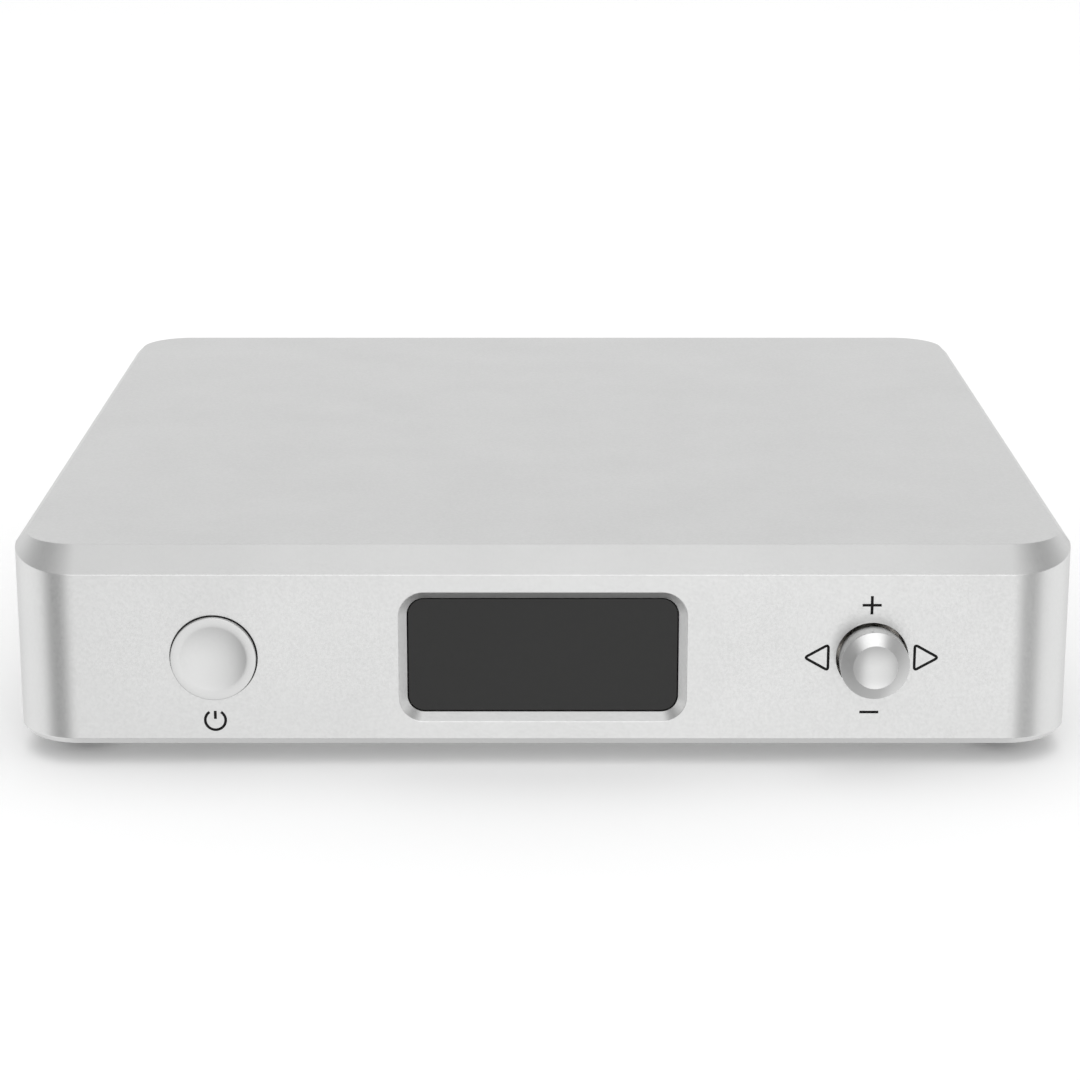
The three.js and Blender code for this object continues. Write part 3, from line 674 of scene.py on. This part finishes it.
def open_underside(case):
    low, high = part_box("base_plate")
    clearance = 0.2 * MM
    width = high.x - low.x + 2 * clearance
    depth = high.y - low.y + 2 * clearance
    rebate = rounded_rect(width, depth, BASE_CORNER_RADIUS + clearance)
    rebate_top = CASE_BOTTOM + BASE_THICKNESS + clearance
    under = CASE_BOTTOM - OVERCUT
    cut(case, prism_z("hollow", hollow_outline(), under, CASE_TOP - TOP_WALL))
    cut(case, prism_z("rebate", rebate, under, rebate_top, 0, (low.y + high.y) / 2))


def open_front(case):
    """The two round holes, then the display's bevel, pocket and ledge."""
    before = FRONT_Y - OVERCUT
    behind = FRONT_Y + FRONT_WALL + OVERCUT
    cut(case, bar("Y", POWER_HOLE_RADIUS, before, behind, POWER, ROUND_SIDES))
    cut(case, bar("Y", NAV_HOLE_RADIUS, before, behind, NAV, ROUND_SIDES))
    cut(case, loft("bevel", [surround_ring(WINDOW_BEVEL), surround_ring(-OVERCUT)]))
    pocket_start = FRONT_Y + 0.5 * MM
    ledge_start = FRONT_Y + 2 * MM
    pocket_end = FRONT_Y + 2.6 * MM
    lip = 1.5 * MM
    pocket = rounded_rect(WINDOW_WIDTH + 2 * GAP, WINDOW_HEIGHT + 2 * GAP, WINDOW_RADIUS + GAP)
    ledge = rounded_rect(WINDOW_WIDTH - 2 * lip, WINDOW_HEIGHT - 2 * lip, 0.3 * MM, 3)
    cut(case, prism_y("pocket", pocket, pocket_start, pocket_end, WINDOW.x, WINDOW.z))
    cut(case, prism_y("ledge", ledge, ledge_start, behind, WINDOW.x, WINDOW.z))


def open_rear(case):
    """The panel's recess and the opening behind it."""
    recess = rounded_rect(PANEL_WIDTH + 2 * GAP, PANEL_HEIGHT + 2 * GAP, 2 * MM)
    opening = rounded_rect(PANEL_WIDTH - 10 * MM, PANEL_HEIGHT - 1.8 * MM, 2 * MM)
    inner = BACK_Y - REAR_WALL - OVERCUT
    cut(case, prism_y("recess", recess, PANEL_BACK - GAP, BACK_Y + OVERCUT, 0, SOCKET_LINE))
    cut(case, prism_y("opening", opening, inner, PANEL_BACK + GAP / 2, 0, SOCKET_LINE))


def make_case():
    bottom_corner = CORNER_RADIUS - BOTTOM_CHAMFER
    case = loft("milled_case", [
        case_ring(BOTTOM_CHAMFER, BOTTOM_CHAMFER, bottom_corner, lambda depth: CASE_BOTTOM),
        case_ring(0, 0, CORNER_RADIUS, lambda depth: CASE_BOTTOM + BOTTOM_CHAMFER),
        case_ring(0, 0, CORNER_RADIUS, lambda depth: CASE_TOP - chamfer_drop(depth)),
        case_ring(EDGE_CHAMFER, FRONT_CHAMFER, TOP_CORNER_DEPTH, lambda depth: CASE_TOP),
    ])
    open_underside(case)
    open_front(case)
    open_rear(case)
    piece(soft_edges(case, 0.07 * MM), CASE, "case", "case_shell")


# ---- front controls


def make_power_button():
    low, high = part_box("power_button")
    face = low.y - POWER.y
    back = high.y - POWER.y
    flange = FRONT_Y + FRONT_WALL + 0.3 * MM - POWER.y
    flange_back = flange + 0.8 * MM
    dish = bowl(POWER_DISH_RADIUS, 0.5 * MM, face)
    sides = [
        (POWER_RADIUS, face), (POWER_RADIUS, flange), (POWER_FLANGE_RADIUS, flange),
        (POWER_FLANGE_RADIUS, flange_back), (POWER_STEM_RADIUS, flange_back),
        (POWER_STEM_RADIUS, back), (0, back),
    ]
    profile = dish[:-1] + soften(dish[-1:] + sides, 0.09 * MM)
    piece(turned("dished_power_button", profile, POWER), CONTROL, "power_button", "power_button")


def make_nav_knob():
    """A dished cap with a bevelled rim, a groove behind it and a collar just clear of the case."""
    low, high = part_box("nav_knob")
    tip = low.y
    rim = tip + 0.72 * MM
    collar = tip + 1.03 * MM
    collar_end = FRONT_Y - 0.5 * MM
    dish = bowl(NAV_DISH_RADIUS, 0.42 * MM, tip)
    sides = [
        (NAV_RIM_RADIUS, rim), (NAV_RIM_RADIUS, rim + 0.13 * MM),
        (NAV_GROOVE_RADIUS, rim + 0.18 * MM), (NAV_GROOVE_RADIUS, collar - 0.05 * MM),
        (NAV_COLLAR_RADIUS, collar), (NAV_COLLAR_RADIUS, collar_end),
        (NAV_NECK_RADIUS, collar_end), (NAV_NECK_RADIUS, high.y), (0, high.y),
    ]
    profile = dish[:-1] + soften(dish[-1:] + sides, 0.05 * MM)
    centre = Vector((NAV.x, 0, NAV.z))
    piece(turned("dished_nav_knob", profile, centre), CONTROL, "nav_knob", "nav_knob")


def make_window():
    outline = rounded_rect(WINDOW_WIDTH, WINDOW_HEIGHT, WINDOW_RADIUS)
    pane = prism_y("smoked_window", outline, WINDOW_LOW.y, WINDOW_HIGH.y, WINDOW.x, WINDOW.z)
    piece(soft_edges(pane, 0.1 * MM), WINDOW_FINISH, "case", "display_window")


def printed_line(name, points, width, closed=False):
    """A printed stroke on the front face: a flattened bead along (x, z) points."""
    curve = bpy.data.curves.new(name, "CURVE")
    curve.dimensions = "3D"
    curve.bevel_depth = width / 2
    curve.bevel_resolution = 3
    curve.use_fill_caps = True
    spline = curve.splines.new("POLY")
    spline.points.add(len(points) - 1)
    for made, (x, z) in zip(spline.points, points):
        made.co = (x, 0, z, 1)
    spline.use_cyclic_u = closed
    drawn = add_object(name, curve)
    graph = bpy.context.evaluated_depsgraph_get()
    mesh = bpy.data.meshes.new_from_object(drawn.evaluated_get(graph))
    bpy.data.objects.remove(drawn)
    for vertex in mesh.vertices:
        vertex.co.y = FRONT_Y + vertex.co.y * PRINT_HEIGHT / (width / 2)
    return add_object(name, finish_mesh(mesh))


def arc(centre, radius, start, end, steps=24):
    """Points along an arc; angles in degrees, anticlockwise from +X as seen from the front."""
    points = []
    for step in range(steps + 1):
        angle = math.radians(start + (end - start) * step / steps)
        points.append((centre[0] + radius * math.cos(angle), centre[1] + radius * math.sin(angle)))
    return points


def rounded_triangle(centre, width, height, radius, towards):
    """A triangle that points left (-1) or right (1), with round corners."""
    tip = (centre[0] + towards * width / 2, centre[1])
    upper = (centre[0] - towards * width / 2, centre[1] + height / 2)
    lower = (centre[0] - towards * width / 2, centre[1] - height / 2)
    corners = [tip, upper, lower]
    sides = zip(corners, corners[1:] + corners[:1])
    middles = [((a[0] + b[0]) / 2, (a[1] + b[1]) / 2) for a, b in sides]
    loop = [middles[2], tip, middles[0], upper, middles[1], lower, middles[2]]
    return [tuple(point) for point in soften(loop, radius, 6)][:-1]


def make_symbols():
    """Generic control symbols: a power ring, plus, minus and two triangles."""
    line = 0.36 * MM
    ring_radius = 1.27 * MM
    ring = (POWER.x, POWER.z - 8.15 * MM)
    symbols = [printed_line("power_symbol_ring", arc(ring, ring_radius, 124, 416, 40), line)]
    bar = [(ring[0], ring[1] + 0.15 * MM), (ring[0], ring[1] + 1.2 * MM)]
    symbols.append(printed_line("power_symbol_bar", bar, line))
    half = 1.18 * MM
    x = NAV.x - 0.2 * MM
    plus = NAV.z + 6.75 * MM
    minus = NAV.z - 7.1 * MM
    strokes = [
        ("plus_symbol_level", (x - half, plus), (x + half, plus)),
        ("plus_symbol_upright", (x, plus - half), (x, plus + half)),
        ("minus_symbol", (x - half, minus), (x + half, minus)),
    ]
    symbols += [printed_line(name, [start, end], line) for name, start, end in strokes]
    for name, towards in (("left_symbol", -1), ("right_symbol", 1)):
        centre = (NAV.x - 0.1 * MM + towards * 6.8 * MM, NAV.z)
        triangle = rounded_triangle(centre, 2.93 * MM, 3.34 * MM, 0.45 * MM, towards)
        symbols.append(printed_line(name, triangle, line, closed=True))
    for symbol in symbols:
        piece(symbol, INK, "case")


# ---- fasteners, feet and base


def make_screw(name, node, axis, outward, head_radius, head_height, shank_radius):
    """A pan-head screw with a hex socket; outward is the way its head faces along the axis."""
    low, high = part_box(node)
    centre = (low + high) / 2
    index = 1 if axis == "Y" else 2
    face, tip = (high[index], low[index]) if outward > 0 else (low[index], high[index])
    centre[index] = 0
    under = face - outward * head_height
    pitch = 0.45 * MM
    shoulder = face - outward * head_height * 0.45
    head = [(0, face), (head_radius * 0.8, face), (head_radius, shoulder), (head_radius, under)]
    profile = soften(head, 0.2 * MM) + [(shank_radius, under)]
    for turn in range(int(abs(tip - under) / pitch) - 1):
        crest = under - outward * pitch * (turn + 0.3)
        profile += [(shank_radius, crest), (shank_radius * 0.84, crest - outward * pitch / 2)]
    profile += [(shank_radius * 0.8, tip), (0, tip)]
    made = turned(name, profile, centre, axis, SMALL_SIDES)
    bottom, top = sorted((face - outward * head_height * 0.55, face + outward * OVERCUT))
    cut(made, bar(axis, head_radius / math.sqrt(3), bottom, top, centre, 6))
    piece(made, STEEL, "case", node)


def make_screws():
    for number in range(1, 5):
        make_screw(f"base_fixing_{number}", f"base_screw_{number}", "Z", -1, *BASE_SCREW)
        make_screw(f"board_fixing_{number}", f"board_screw_{number}", "Z", 1, *BOARD_SCREW)
    for side in ("left", "right"):
        make_screw(f"rear_fixing_{side}", f"rear_screw_{side}", "Y", 1, *REAR_SCREW)
        make_screw(f"front_fixing_{side}", f"front_board_screw_{side}", "Y", 1, *BOARD_SCREW)


def make_feet():
    """Moulded rubber discs with a ring and a hollow in the sole."""
    for number in range(1, 5):
        low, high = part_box(f"foot_{number}")
        centre = (low + high) / 2
        centre.z = 0
        radius = (high.x - low.x) / 2
        sole = [
            (0, 0.25), (2.0, 0.25), (2.2, 0), (3.0, 0), (3.2, 0.2), (4.0, 0.2), (4.2, 0),
        ]
        side = [
            (radius - 1.1 * MM, 0),
            (radius - 0.3 * MM, 0.5 * MM),
            (radius, 1.3 * MM),
            (radius, high.z),
            (0, high.z),
        ]
        profile = soften([(r * MM, z * MM) for r, z in sole] + side, 0.25 * MM)
        foot = turned(f"rubber_foot_{number}", profile, centre, "Z")
        piece(foot, RUBBER, "case", f"foot_{number}")


def make_base():
    """The underside plate, with countersinks, foot pockets and the board's standoffs."""
    low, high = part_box("base_plate")
    centre = (low + high) / 2
    top = CASE_BOTTOM + BASE_THICKNESS
    under = low.z - OVERCUT
    outline = rounded_rect(high.x - low.x, high.y - low.y, BASE_CORNER_RADIUS)
    base = prism_z("underside_plate", outline, low.z, top, centre.x, centre.y)
    for number in range(1, 5):
        screw = middle(f"base_screw_{number}")
        foot = middle(f"foot_{number}")
        stand = middle(f"board_screw_{number}")
        cut(base, bar("Z", 1.7 * MM, under, top + OVERCUT, screw))
        cut(base, bar("Z", 3.1 * MM, under, low.z + 1.2 * MM, screw))
        cut(base, bar("Z", 6.7 * MM, under, low.z + 0.6 * MM, foot, ROUND_SIDES))
        join(base, bar("Z", 3 * MM, top - GAP, high.z, stand))
        cut(base, bar("Z", 1.2 * MM, top, high.z + OVERCUT, stand))
    piece(soft_edges(base, 0.12 * MM), PANEL, "case", "base_plate")


# ---- rear panel and sockets


def socket_centre(node):
    """The socket's place across, on the line that all the sockets share."""
    return Vector((middle(node).x, 0, SOCKET_LINE))


def make_rear_panel():
    before = PANEL_BACK - OVERCUT
    behind = PANEL_FACE + OVERCUT
    outline = rounded_rect(PANEL_WIDTH, PANEL_HEIGHT, 1.9 * MM)
    panel = prism_y("socket_panel", outline, PANEL_BACK, PANEL_FACE, 0, SOCKET_LINE)
    round_holes = [
        ("rear_screw_left", 1.5),
        ("rear_screw_right", 1.5),
        ("dc_socket", 4.2),
        ("coax_shell", 4.4),
        ("rca_right_shell", 4.4),
        ("rca_left_shell", 4.4),
        ("balanced_right_jack", 4.7),
        ("balanced_left_jack", 4.7),
    ]
    for node, radius in round_holes:
        cut(panel, bar("Y", radius * MM, before, behind, socket_centre(node), ROUND_SIDES))
    for node in ("usb_shell", "optical_socket"):
        low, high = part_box(node)
        centre = (low + high) / 2
        hole = rounded_rect(high.x - low.x + 4 * GAP, high.z - low.z + 4 * GAP, 0.4 * MM, 4)
        cut(panel, prism_y("hole", hole, before, behind, centre.x, centre.z))
    piece(soft_edges(panel, 0.12 * MM), PANEL, "case", "rear_panel")


def make_phono_shell(name):
    """The plated barrel of a phono socket, with the flange that clamps the panel."""
    low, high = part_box(f"{name}_shell")
    flange = PANEL_FACE + 1.0 * MM
    ring = [
        (3.45 * MM, low.y), (4.15 * MM, low.y), (4.15 * MM, PANEL_FACE + GAP),
        (5.2 * MM, PANEL_FACE + GAP), (5.2 * MM, flange), (4.15 * MM, flange),
        (4.15 * MM, high.y - 0.5 * MM), (3.85 * MM, high.y),
        (3.45 * MM, high.y - 0.15 * MM),
    ]
    profile = soften(ring + ring[:1], 0.15 * MM)[:-1]
    barrel = turned(f"{name}_barrel", profile, socket_centre(f"{name}_shell"), closed=True)
    piece(barrel, GOLD, "case", f"{name}_shell")


def make_phono_body(name, finish):
    """The moulded block of a phono socket, its core and the plated contact in the core's bore."""
    low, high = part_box(f"{name}_body")
    centre = socket_centre(f"{name}_body")
    block_end = PANEL_BACK - GAP
    bore_end = PANEL_FACE - 8 * MM
    body = box_solid(f"{name}_moulding", low, (high.x, block_end, high.z))
    core = [
        (0, block_end - OVERCUT), (3.3 * MM, block_end - OVERCUT),
        (3.3 * MM, high.y - 0.3 * MM), (3.1 * MM, high.y), (0, high.y),
    ]
    bore = [
        (0, high.y + OVERCUT), (2.6 * MM, high.y + OVERCUT), (2.1 * MM, high.y),
        (1.7 * MM, high.y - 0.5 * MM), (1.7 * MM, bore_end + 0.5 * MM), (0, bore_end),
    ]
    join(body, turned("core", core, centre, sides=SMALL_SIDES))
    cut(body, turned("bore", bore, centre, sides=SMALL_SIDES))
    piece(soft_edges(body, 0.1 * MM), finish, "case", f"{name}_body")

    start = bore_end + 1.0 * MM
    end = high.y - 1.0 * MM
    ring = [(1.45 * MM, start), (1.65 * MM, start), (1.65 * MM, end), (1.45 * MM, end)]
    contact = turned(f"{name}_contact", ring, centre, sides=SMALL_SIDES, closed=True)
    piece(contact, GOLD, "case")


def make_balanced_jack(side):
    """A moulded 6.35 mm jack with a threaded nose."""
    node = f"balanced_{side}_jack"
    low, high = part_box(node)
    centre = socket_centre(node)
    block_end = PANEL_BACK - GAP
    pitch = 0.5 * MM
    body = box_solid(f"{node}_moulding", low, (high.x, block_end, high.z))
    nose = [(0, block_end - OVERCUT), (4.4 * MM, block_end - OVERCUT)]
    for turn in range(int((high.y - 0.6 * MM - block_end) / pitch) + 1):
        crest = block_end + pitch * turn
        nose += [(4.4 * MM, crest), (4.12 * MM, crest + pitch / 2)]
    nose += [(4.3 * MM, high.y - 0.3 * MM), (4.0 * MM, high.y), (0, high.y)]
    bore = [
        (0, low.y + 1.6 * MM), (3.25 * MM, low.y + 1.6 * MM),
        (3.25 * MM, high.y - 0.6 * MM), (3.7 * MM, high.y + 0.05 * MM),
        (3.7 * MM, high.y + OVERCUT), (0, high.y + OVERCUT),
    ]
    join(body, turned("nose", nose, centre))
    cut(body, turned("bore", bore, centre, sides=SMALL_SIDES))
    piece(soft_edges(body, 0.08 * MM, 2, 40), BLACK, "case", node)


def make_balanced_nut(side):
    """A hex nut whose outer corners are turned off."""
    node = f"balanced_{side}_nut"
    low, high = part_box(node)
    centre = socket_centre(node)
    under = low.y - OVERCUT
    over = high.y + OVERCUT
    trim = 5.95 * MM
    cone = [
        (0, under), (trim + OVERCUT, under), (trim + OVERCUT, high.y - OVERCUT),
        (trim - OVERCUT, over), (0, over),
    ]
    hexagon = circle(6.6 * MM, 6, math.radians(30))
    nut = prism_y(f"balanced_{side}_hex_nut", hexagon, low.y, high.y, centre.x, centre.z)
    cut(nut, turned("cone", cone, centre), operation="INTERSECT")
    cut(nut, bar("Y", 4.6 * MM, under, over, centre, ROUND_SIDES))
    piece(soft_edges(nut, 0.1 * MM), NICKEL, "case", node)


def make_usb():
    low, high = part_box("usb_shell")
    centre = socket_centre("usb_shell")
    mouth = [(-4.25, -3.9), (4.25, -3.9), (4.25, 1.9), (2.7, 3.9), (-2.7, 3.9), (-4.25, 1.9)]
    outline = [Vector(point) * MM for point in mouth]
    shell = box_solid("usb_can", low, high)
    cut(shell, prism_y("mouth", outline, high.y - 15 * MM, high.y + OVERCUT, centre.x, centre.z))
    piece(soft_edges(shell, 0.15 * MM), NICKEL, "case", "usb_shell")

    low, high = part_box("usb_tongue")
    base_low = (low.x, low.y, centre.z - 3.6 * MM)
    base_high = (high.x, low.y + 1.6 * MM, centre.z + 1.8 * MM)
    bar_low = (centre.x - 2.8 * MM, low.y + 1.0 * MM, centre.z - 1.6 * MM)
    bar_high = (centre.x + 2.8 * MM, high.y, centre.z + 1.6 * MM)
    tongue = box_solid("usb_insert", base_low, base_high)
    join(tongue, box_solid("bar", bar_low, bar_high))
    piece(soft_edges(tongue, 0.2 * MM), WHITE, "case", "usb_tongue")
    for row, z in (("upper", bar_high[2]), ("lower", bar_low[2])):
        for column, side in (("a", -1), ("b", 1)):
            x = centre.x + side * 1.25 * MM
            strip_low = (x - 0.5 * MM, low.y + 2.0 * MM, z - 0.08 * MM)
            strip_high = (x + 0.5 * MM, high.y - 0.8 * MM, z + 0.08 * MM)
            strip = box_solid(f"usb_contact_{row}_{column}", strip_low, strip_high)
            piece(soft_edges(strip, 0.04 * MM), GOLD, "case")


def make_dc_inlet():
    low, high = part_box("dc_socket")
    centre = socket_centre("dc_socket")
    block_end = PANEL_BACK - GAP
    bore_end = PANEL_FACE - 9 * MM
    body = box_solid("dc_moulding", low, (high.x, block_end, high.z))
    nose = [
        (0, block_end - OVERCUT), (3.9 * MM, block_end - OVERCUT),
        (3.9 * MM, high.y - 0.3 * MM), (3.6 * MM, high.y), (0, high.y),
    ]
    bore = [
        (0, bore_end), (3.0 * MM, bore_end), (3.0 * MM, high.y - 0.3 * MM),
        (3.3 * MM, high.y + 0.05 * MM), (3.3 * MM, high.y + OVERCUT),
        (0, high.y + OVERCUT),
    ]
    join(body, turned("nose", nose, centre))
    cut(body, turned("bore", bore, centre))
    piece(soft_edges(body, 0.12 * MM), BLACK, "case", "dc_socket")

    low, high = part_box("dc_pin")
    pin = soften([(0, low.y), (1.0 * MM, low.y), (1.0 * MM, high.y), (0, high.y)], 0.6 * MM)
    piece(turned("dc_centre_pin", pin, centre, sides=SMALL_SIDES), NICKEL, "case", "dc_pin")


def pin_x(profile, x, y, z):
    """A pin turned about a line along X, from (r, along) points measured from its middle."""
    pin = turned("pin", profile, (0, 0, 0), sides=SMALL_SIDES)
    pin.data.transform(Matrix.Translation((x, y, z)) @ Matrix.Rotation(math.pi / 2, 4, "Z"))
    return pin


def make_optical():
    """The optical socket and the flap that hangs in its mouth from a level pin."""
    low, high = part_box("optical_socket")
    flap_low, flap_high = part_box("optical_shutter")
    x = middle("optical_socket").x
    pin_y = (flap_low.y + flap_high.y) / 2
    pin_z = flap_high.z - 0.5 * MM
    mouth_low = (x - 3.5 * MM, high.y - 9.9 * MM, SOCKET_LINE - 3.6 * MM)
    mouth_high = (x + 3.5 * MM, high.y + OVERCUT, SOCKET_LINE + 3.9 * MM)
    bearing = [(0, -4.2 * MM), (0.65 * MM, -4.2 * MM), (0.65 * MM, 4.2 * MM), (0, 4.2 * MM)]
    body = box_solid("optical_moulding", low, high)
    cut(body, box_solid("mouth", mouth_low, mouth_high))
    cut(body, pin_x(bearing, x, pin_y, pin_z))
    piece(soft_edges(body, 0.06 * MM), BLACK, "case", "optical_socket")

    plate_low = (x - 3.3 * MM, pin_y - 0.4 * MM, flap_low.z)
    plate_high = (x + 3.3 * MM, pin_y + 0.4 * MM, pin_z)
    groove_low = (x - 2.2 * MM, pin_y + 0.25 * MM, SOCKET_LINE - 2.4 * MM)
    groove_high = (x + 2.2 * MM, pin_y + 1.0 * MM, SOCKET_LINE + 1.6 * MM)
    barrel = [
        (0, -4), (0.4, -4), (0.4, -3.3), (0.5, -3.3), (0.5, 3.3), (0.4, 3.3), (0.4, 4), (0, 4),
    ]
    flap = box_solid("optical_flap", plate_low, plate_high)
    join(flap, pin_x([(r * MM, along * MM) for r, along in barrel], x, pin_y, pin_z))
    cut(flap, box_solid("groove", groove_low, groove_high))
    piece(soft_edges(flap, 0.05 * MM), BLACK, "optical_shutter", "optical_shutter")


# ---- inner pieces


def make_boards():
    low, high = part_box("main_board")
    board = box_solid("main_laminate", low, high)
    hole_radius = 1.4 * MM
    for number in range(1, 5):
        screw = middle(f"board_screw_{number}")
        cut(board, bar("Z", hole_radius, low.z - OVERCUT, high.z + OVERCUT, screw))
    piece(soft_edges(board, 0.08 * MM), BOARD, "case", "main_board")

    low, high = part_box("front_board")
    board = box_solid("front_laminate", low, high)
    for side in ("left", "right"):
        screw = middle(f"front_board_screw_{side}")
        cut(board, bar("Y", hole_radius, low.y - OVERCUT, high.y + OVERCUT, screw))
    piece(soft_edges(board, 0.08 * MM), BOARD, "case", "front_board")


def chip_lead(foot, hip, width):
    """The rings of a bent lead that rises from its foot on the board to its hip at the chip."""
    foot = Vector(foot)
    hip = Vector(hip)
    span = Vector((hip.x - foot.x, hip.y - foot.y, 0))
    way = span.normalized()
    side = Vector((-way.y, way.x, 0)) * width / 2
    up = Vector((0, 0, 0.15 * MM))
    line = [foot, foot + span * 0.45, hip - span * 0.35, hip]
    return [[point - side, point + side, point + side + up, point - side + up] for point in line]


def make_chip(node, leads, pitch):
    """A moulded chip with a dot at its first lead and a row of bent leads on each side."""
    low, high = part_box(node)
    centre = (low + high) / 2
    reach = 1.0 * MM
    half = Vector((centre.x - low.x - reach, centre.y - low.y - reach))
    rings = []
    for z, inset in ((low.z + 0.05 * MM, 0.12 * MM), (centre.z, 0), (high.z, 0.12 * MM)):
        outline = rounded_rect(2 * (half.x - inset), 2 * (half.y - inset), 0.3 * MM, 3)
        rings.append(plan_ring(outline, z, centre.x, centre.y))
    chip = loft(f"{node}_body", rings)
    dot = Vector((centre.x - half.x + 1.2 * MM, centre.y - half.y + 1.2 * MM, 0))
    cut(chip, bar("Z", 0.5 * MM, high.z - 0.08 * MM, high.z + OVERCUT, dot, 24))
    piece(chip, BLACK, "case", node)

    vertices = []
    faces = []
    for index in range(leads):
        offset = (index - (leads - 1) / 2) * pitch
        for turn in range(4):
            spin = Matrix.Rotation(math.pi / 2 * turn, 3, "Z")
            edge = half.x if turn % 2 == 0 else half.y
            foot = spin @ Vector((edge + reach, offset, low.z - centre.z))
            hip = spin @ Vector((edge - 0.1 * MM, offset, 0))
            lead = loft("lead", chip_lead(centre + foot, centre + hip, pitch * 0.45))
            start = len(vertices)
            vertices += [vertex.co.copy() for vertex in lead.data.vertices]
            faces += [tuple(start + corner for corner in face.vertices) for face in lead.data.polygons]
            bpy.data.objects.remove(lead)
    piece(mesh_object(f"{node}_leads", vertices, faces), NICKEL, "case")


def make_capacitor(node):
    """An electrolytic can: a sleeve with a rolled groove and a scored bare lid."""
    low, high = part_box(node)
    centre = (low + high) / 2
    centre.z = 0
    radius = (high.x - low.x) / 2
    groove = low.z + 1.6 * MM
    sunk = high.z - 0.15 * MM
    lid_radius = radius - 0.75 * MM
    sleeve = [
        (0, low.z), (radius, low.z), (radius, groove - 0.5 * MM),
        (radius - 0.35 * MM, groove), (radius, groove + 0.5 * MM), (radius, high.z),
        (radius - 0.7 * MM, high.z), (radius - 0.7 * MM, sunk), (0, sunk),
    ]
    piece(turned(f"{node}_can", soften(sleeve, 0.3 * MM), centre, "Z"), BLACK, "case", node)
    top = high.z - 0.04 * MM
    plate = soften([(0, sunk), (lid_radius, sunk), (lid_radius, top), (0, top)], 0.04 * MM)
    lid = turned(f"{node}_lid", plate, centre, "Z")
    for reach_x, reach_y in ((radius, 0.15 * MM), (0.15 * MM, radius)):
        score_low = (centre.x - reach_x, centre.y - reach_y, high.z - 0.09 * MM)
        score_high = (centre.x + reach_x, centre.y + reach_y, high.z + OVERCUT)
        cut(lid, box_solid("score", score_low, score_high))
    piece(lid, NICKEL, "case")


def make_connector(node):
    """A flat cable's connector, with a row of slots over its contacts."""
    low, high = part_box(node)
    housing = box_solid(f"{node}_housing", low, high)
    slots = 18
    margin = 2 * MM
    pitch = (high.x - low.x - 2 * margin) / slots
    for index in range(slots):
        x = low.x + margin + pitch * (index + 0.5)
        slot_low = (x - pitch / 4, low.y - OVERCUT, high.z - 0.6 * MM)
        slot_high = (x + pitch / 4, low.y + 1.2 * MM, high.z + OVERCUT)
        cut(housing, box_solid("slot", slot_low, slot_high))
    piece(soft_edges(housing, 0.05 * MM, 2), WHITE, "case", node)


def make_inductor():
    low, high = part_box("power_inductor")
    centre = (low + high) / 2
    outline = rounded_rect(high.x - low.x, high.y - low.y, 1.6 * MM)
    core = prism_z("inductor_core", outline, low.z, high.z, centre.x, centre.y)
    cut(core, bar("Z", 2.6 * MM, high.z - 0.8 * MM, high.z + OVERCUT, centre))
    piece(soft_edges(core, 0.15 * MM), STEEL, "case", "power_inductor")


def make_soft_block(name, node, finish, edge):
    """A block that fills its CAD node's box, with softened edges."""
    block = box_solid(name, *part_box(node))
    piece(soft_edges(block, edge), finish, "case", node)


def make_electronics():
    make_boards()
    make_chip("dac_chip", 12, 0.6 * MM)
    make_chip("processor_chip", 16, 0.7 * MM)
    for number in (1, 2):
        make_capacitor(f"capacitor_{number}")
    for place in ("front", "board"):
        make_connector(f"{place}_connector")
    make_inductor()
    make_soft_block("oscillator_can", "oscillator", NICKEL, 0.3 * MM)
    make_soft_block("display_glass", "display_panel", SCREEN, 0.15 * MM)


def finish_cad_nodes():
    """The pieces inside keep their CAD shapes and take the finish their slot names."""
    carried = (
        CASE, CONTROL, PANEL, RUBBER, FOAM, WINDOW_FINISH, SCREEN, BOARD,
        BLACK, WHITE, RED, ORANGE, FLEX, NICKEL, GOLD, STEEL,
    )
    finishes = {finish.slot: finish for finish in carried}
    for entry in frame["record"]["subparts"]:
        node = frame["nodes"][entry["node"]]
        node.data.materials.clear()
        node.data.materials.append(finishes[entry["material_slot"]].material)


make_camera()
make_light()
make_floor()
finish_cad_nodes()
make_case()
make_power_button()
make_nav_knob()
make_window()
make_symbols()
make_screws()
make_feet()
make_base()
make_rear_panel()
for socket, core in (("coax", ORANGE), ("rca_right", RED), ("rca_left", WHITE)):
    make_phono_shell(socket)
    make_phono_body(socket, core)
for side in ("right", "left"):
    make_balanced_jack(side)
    make_balanced_nut(side)
make_usb()
make_dc_inlet()
make_optical()
make_electronics()
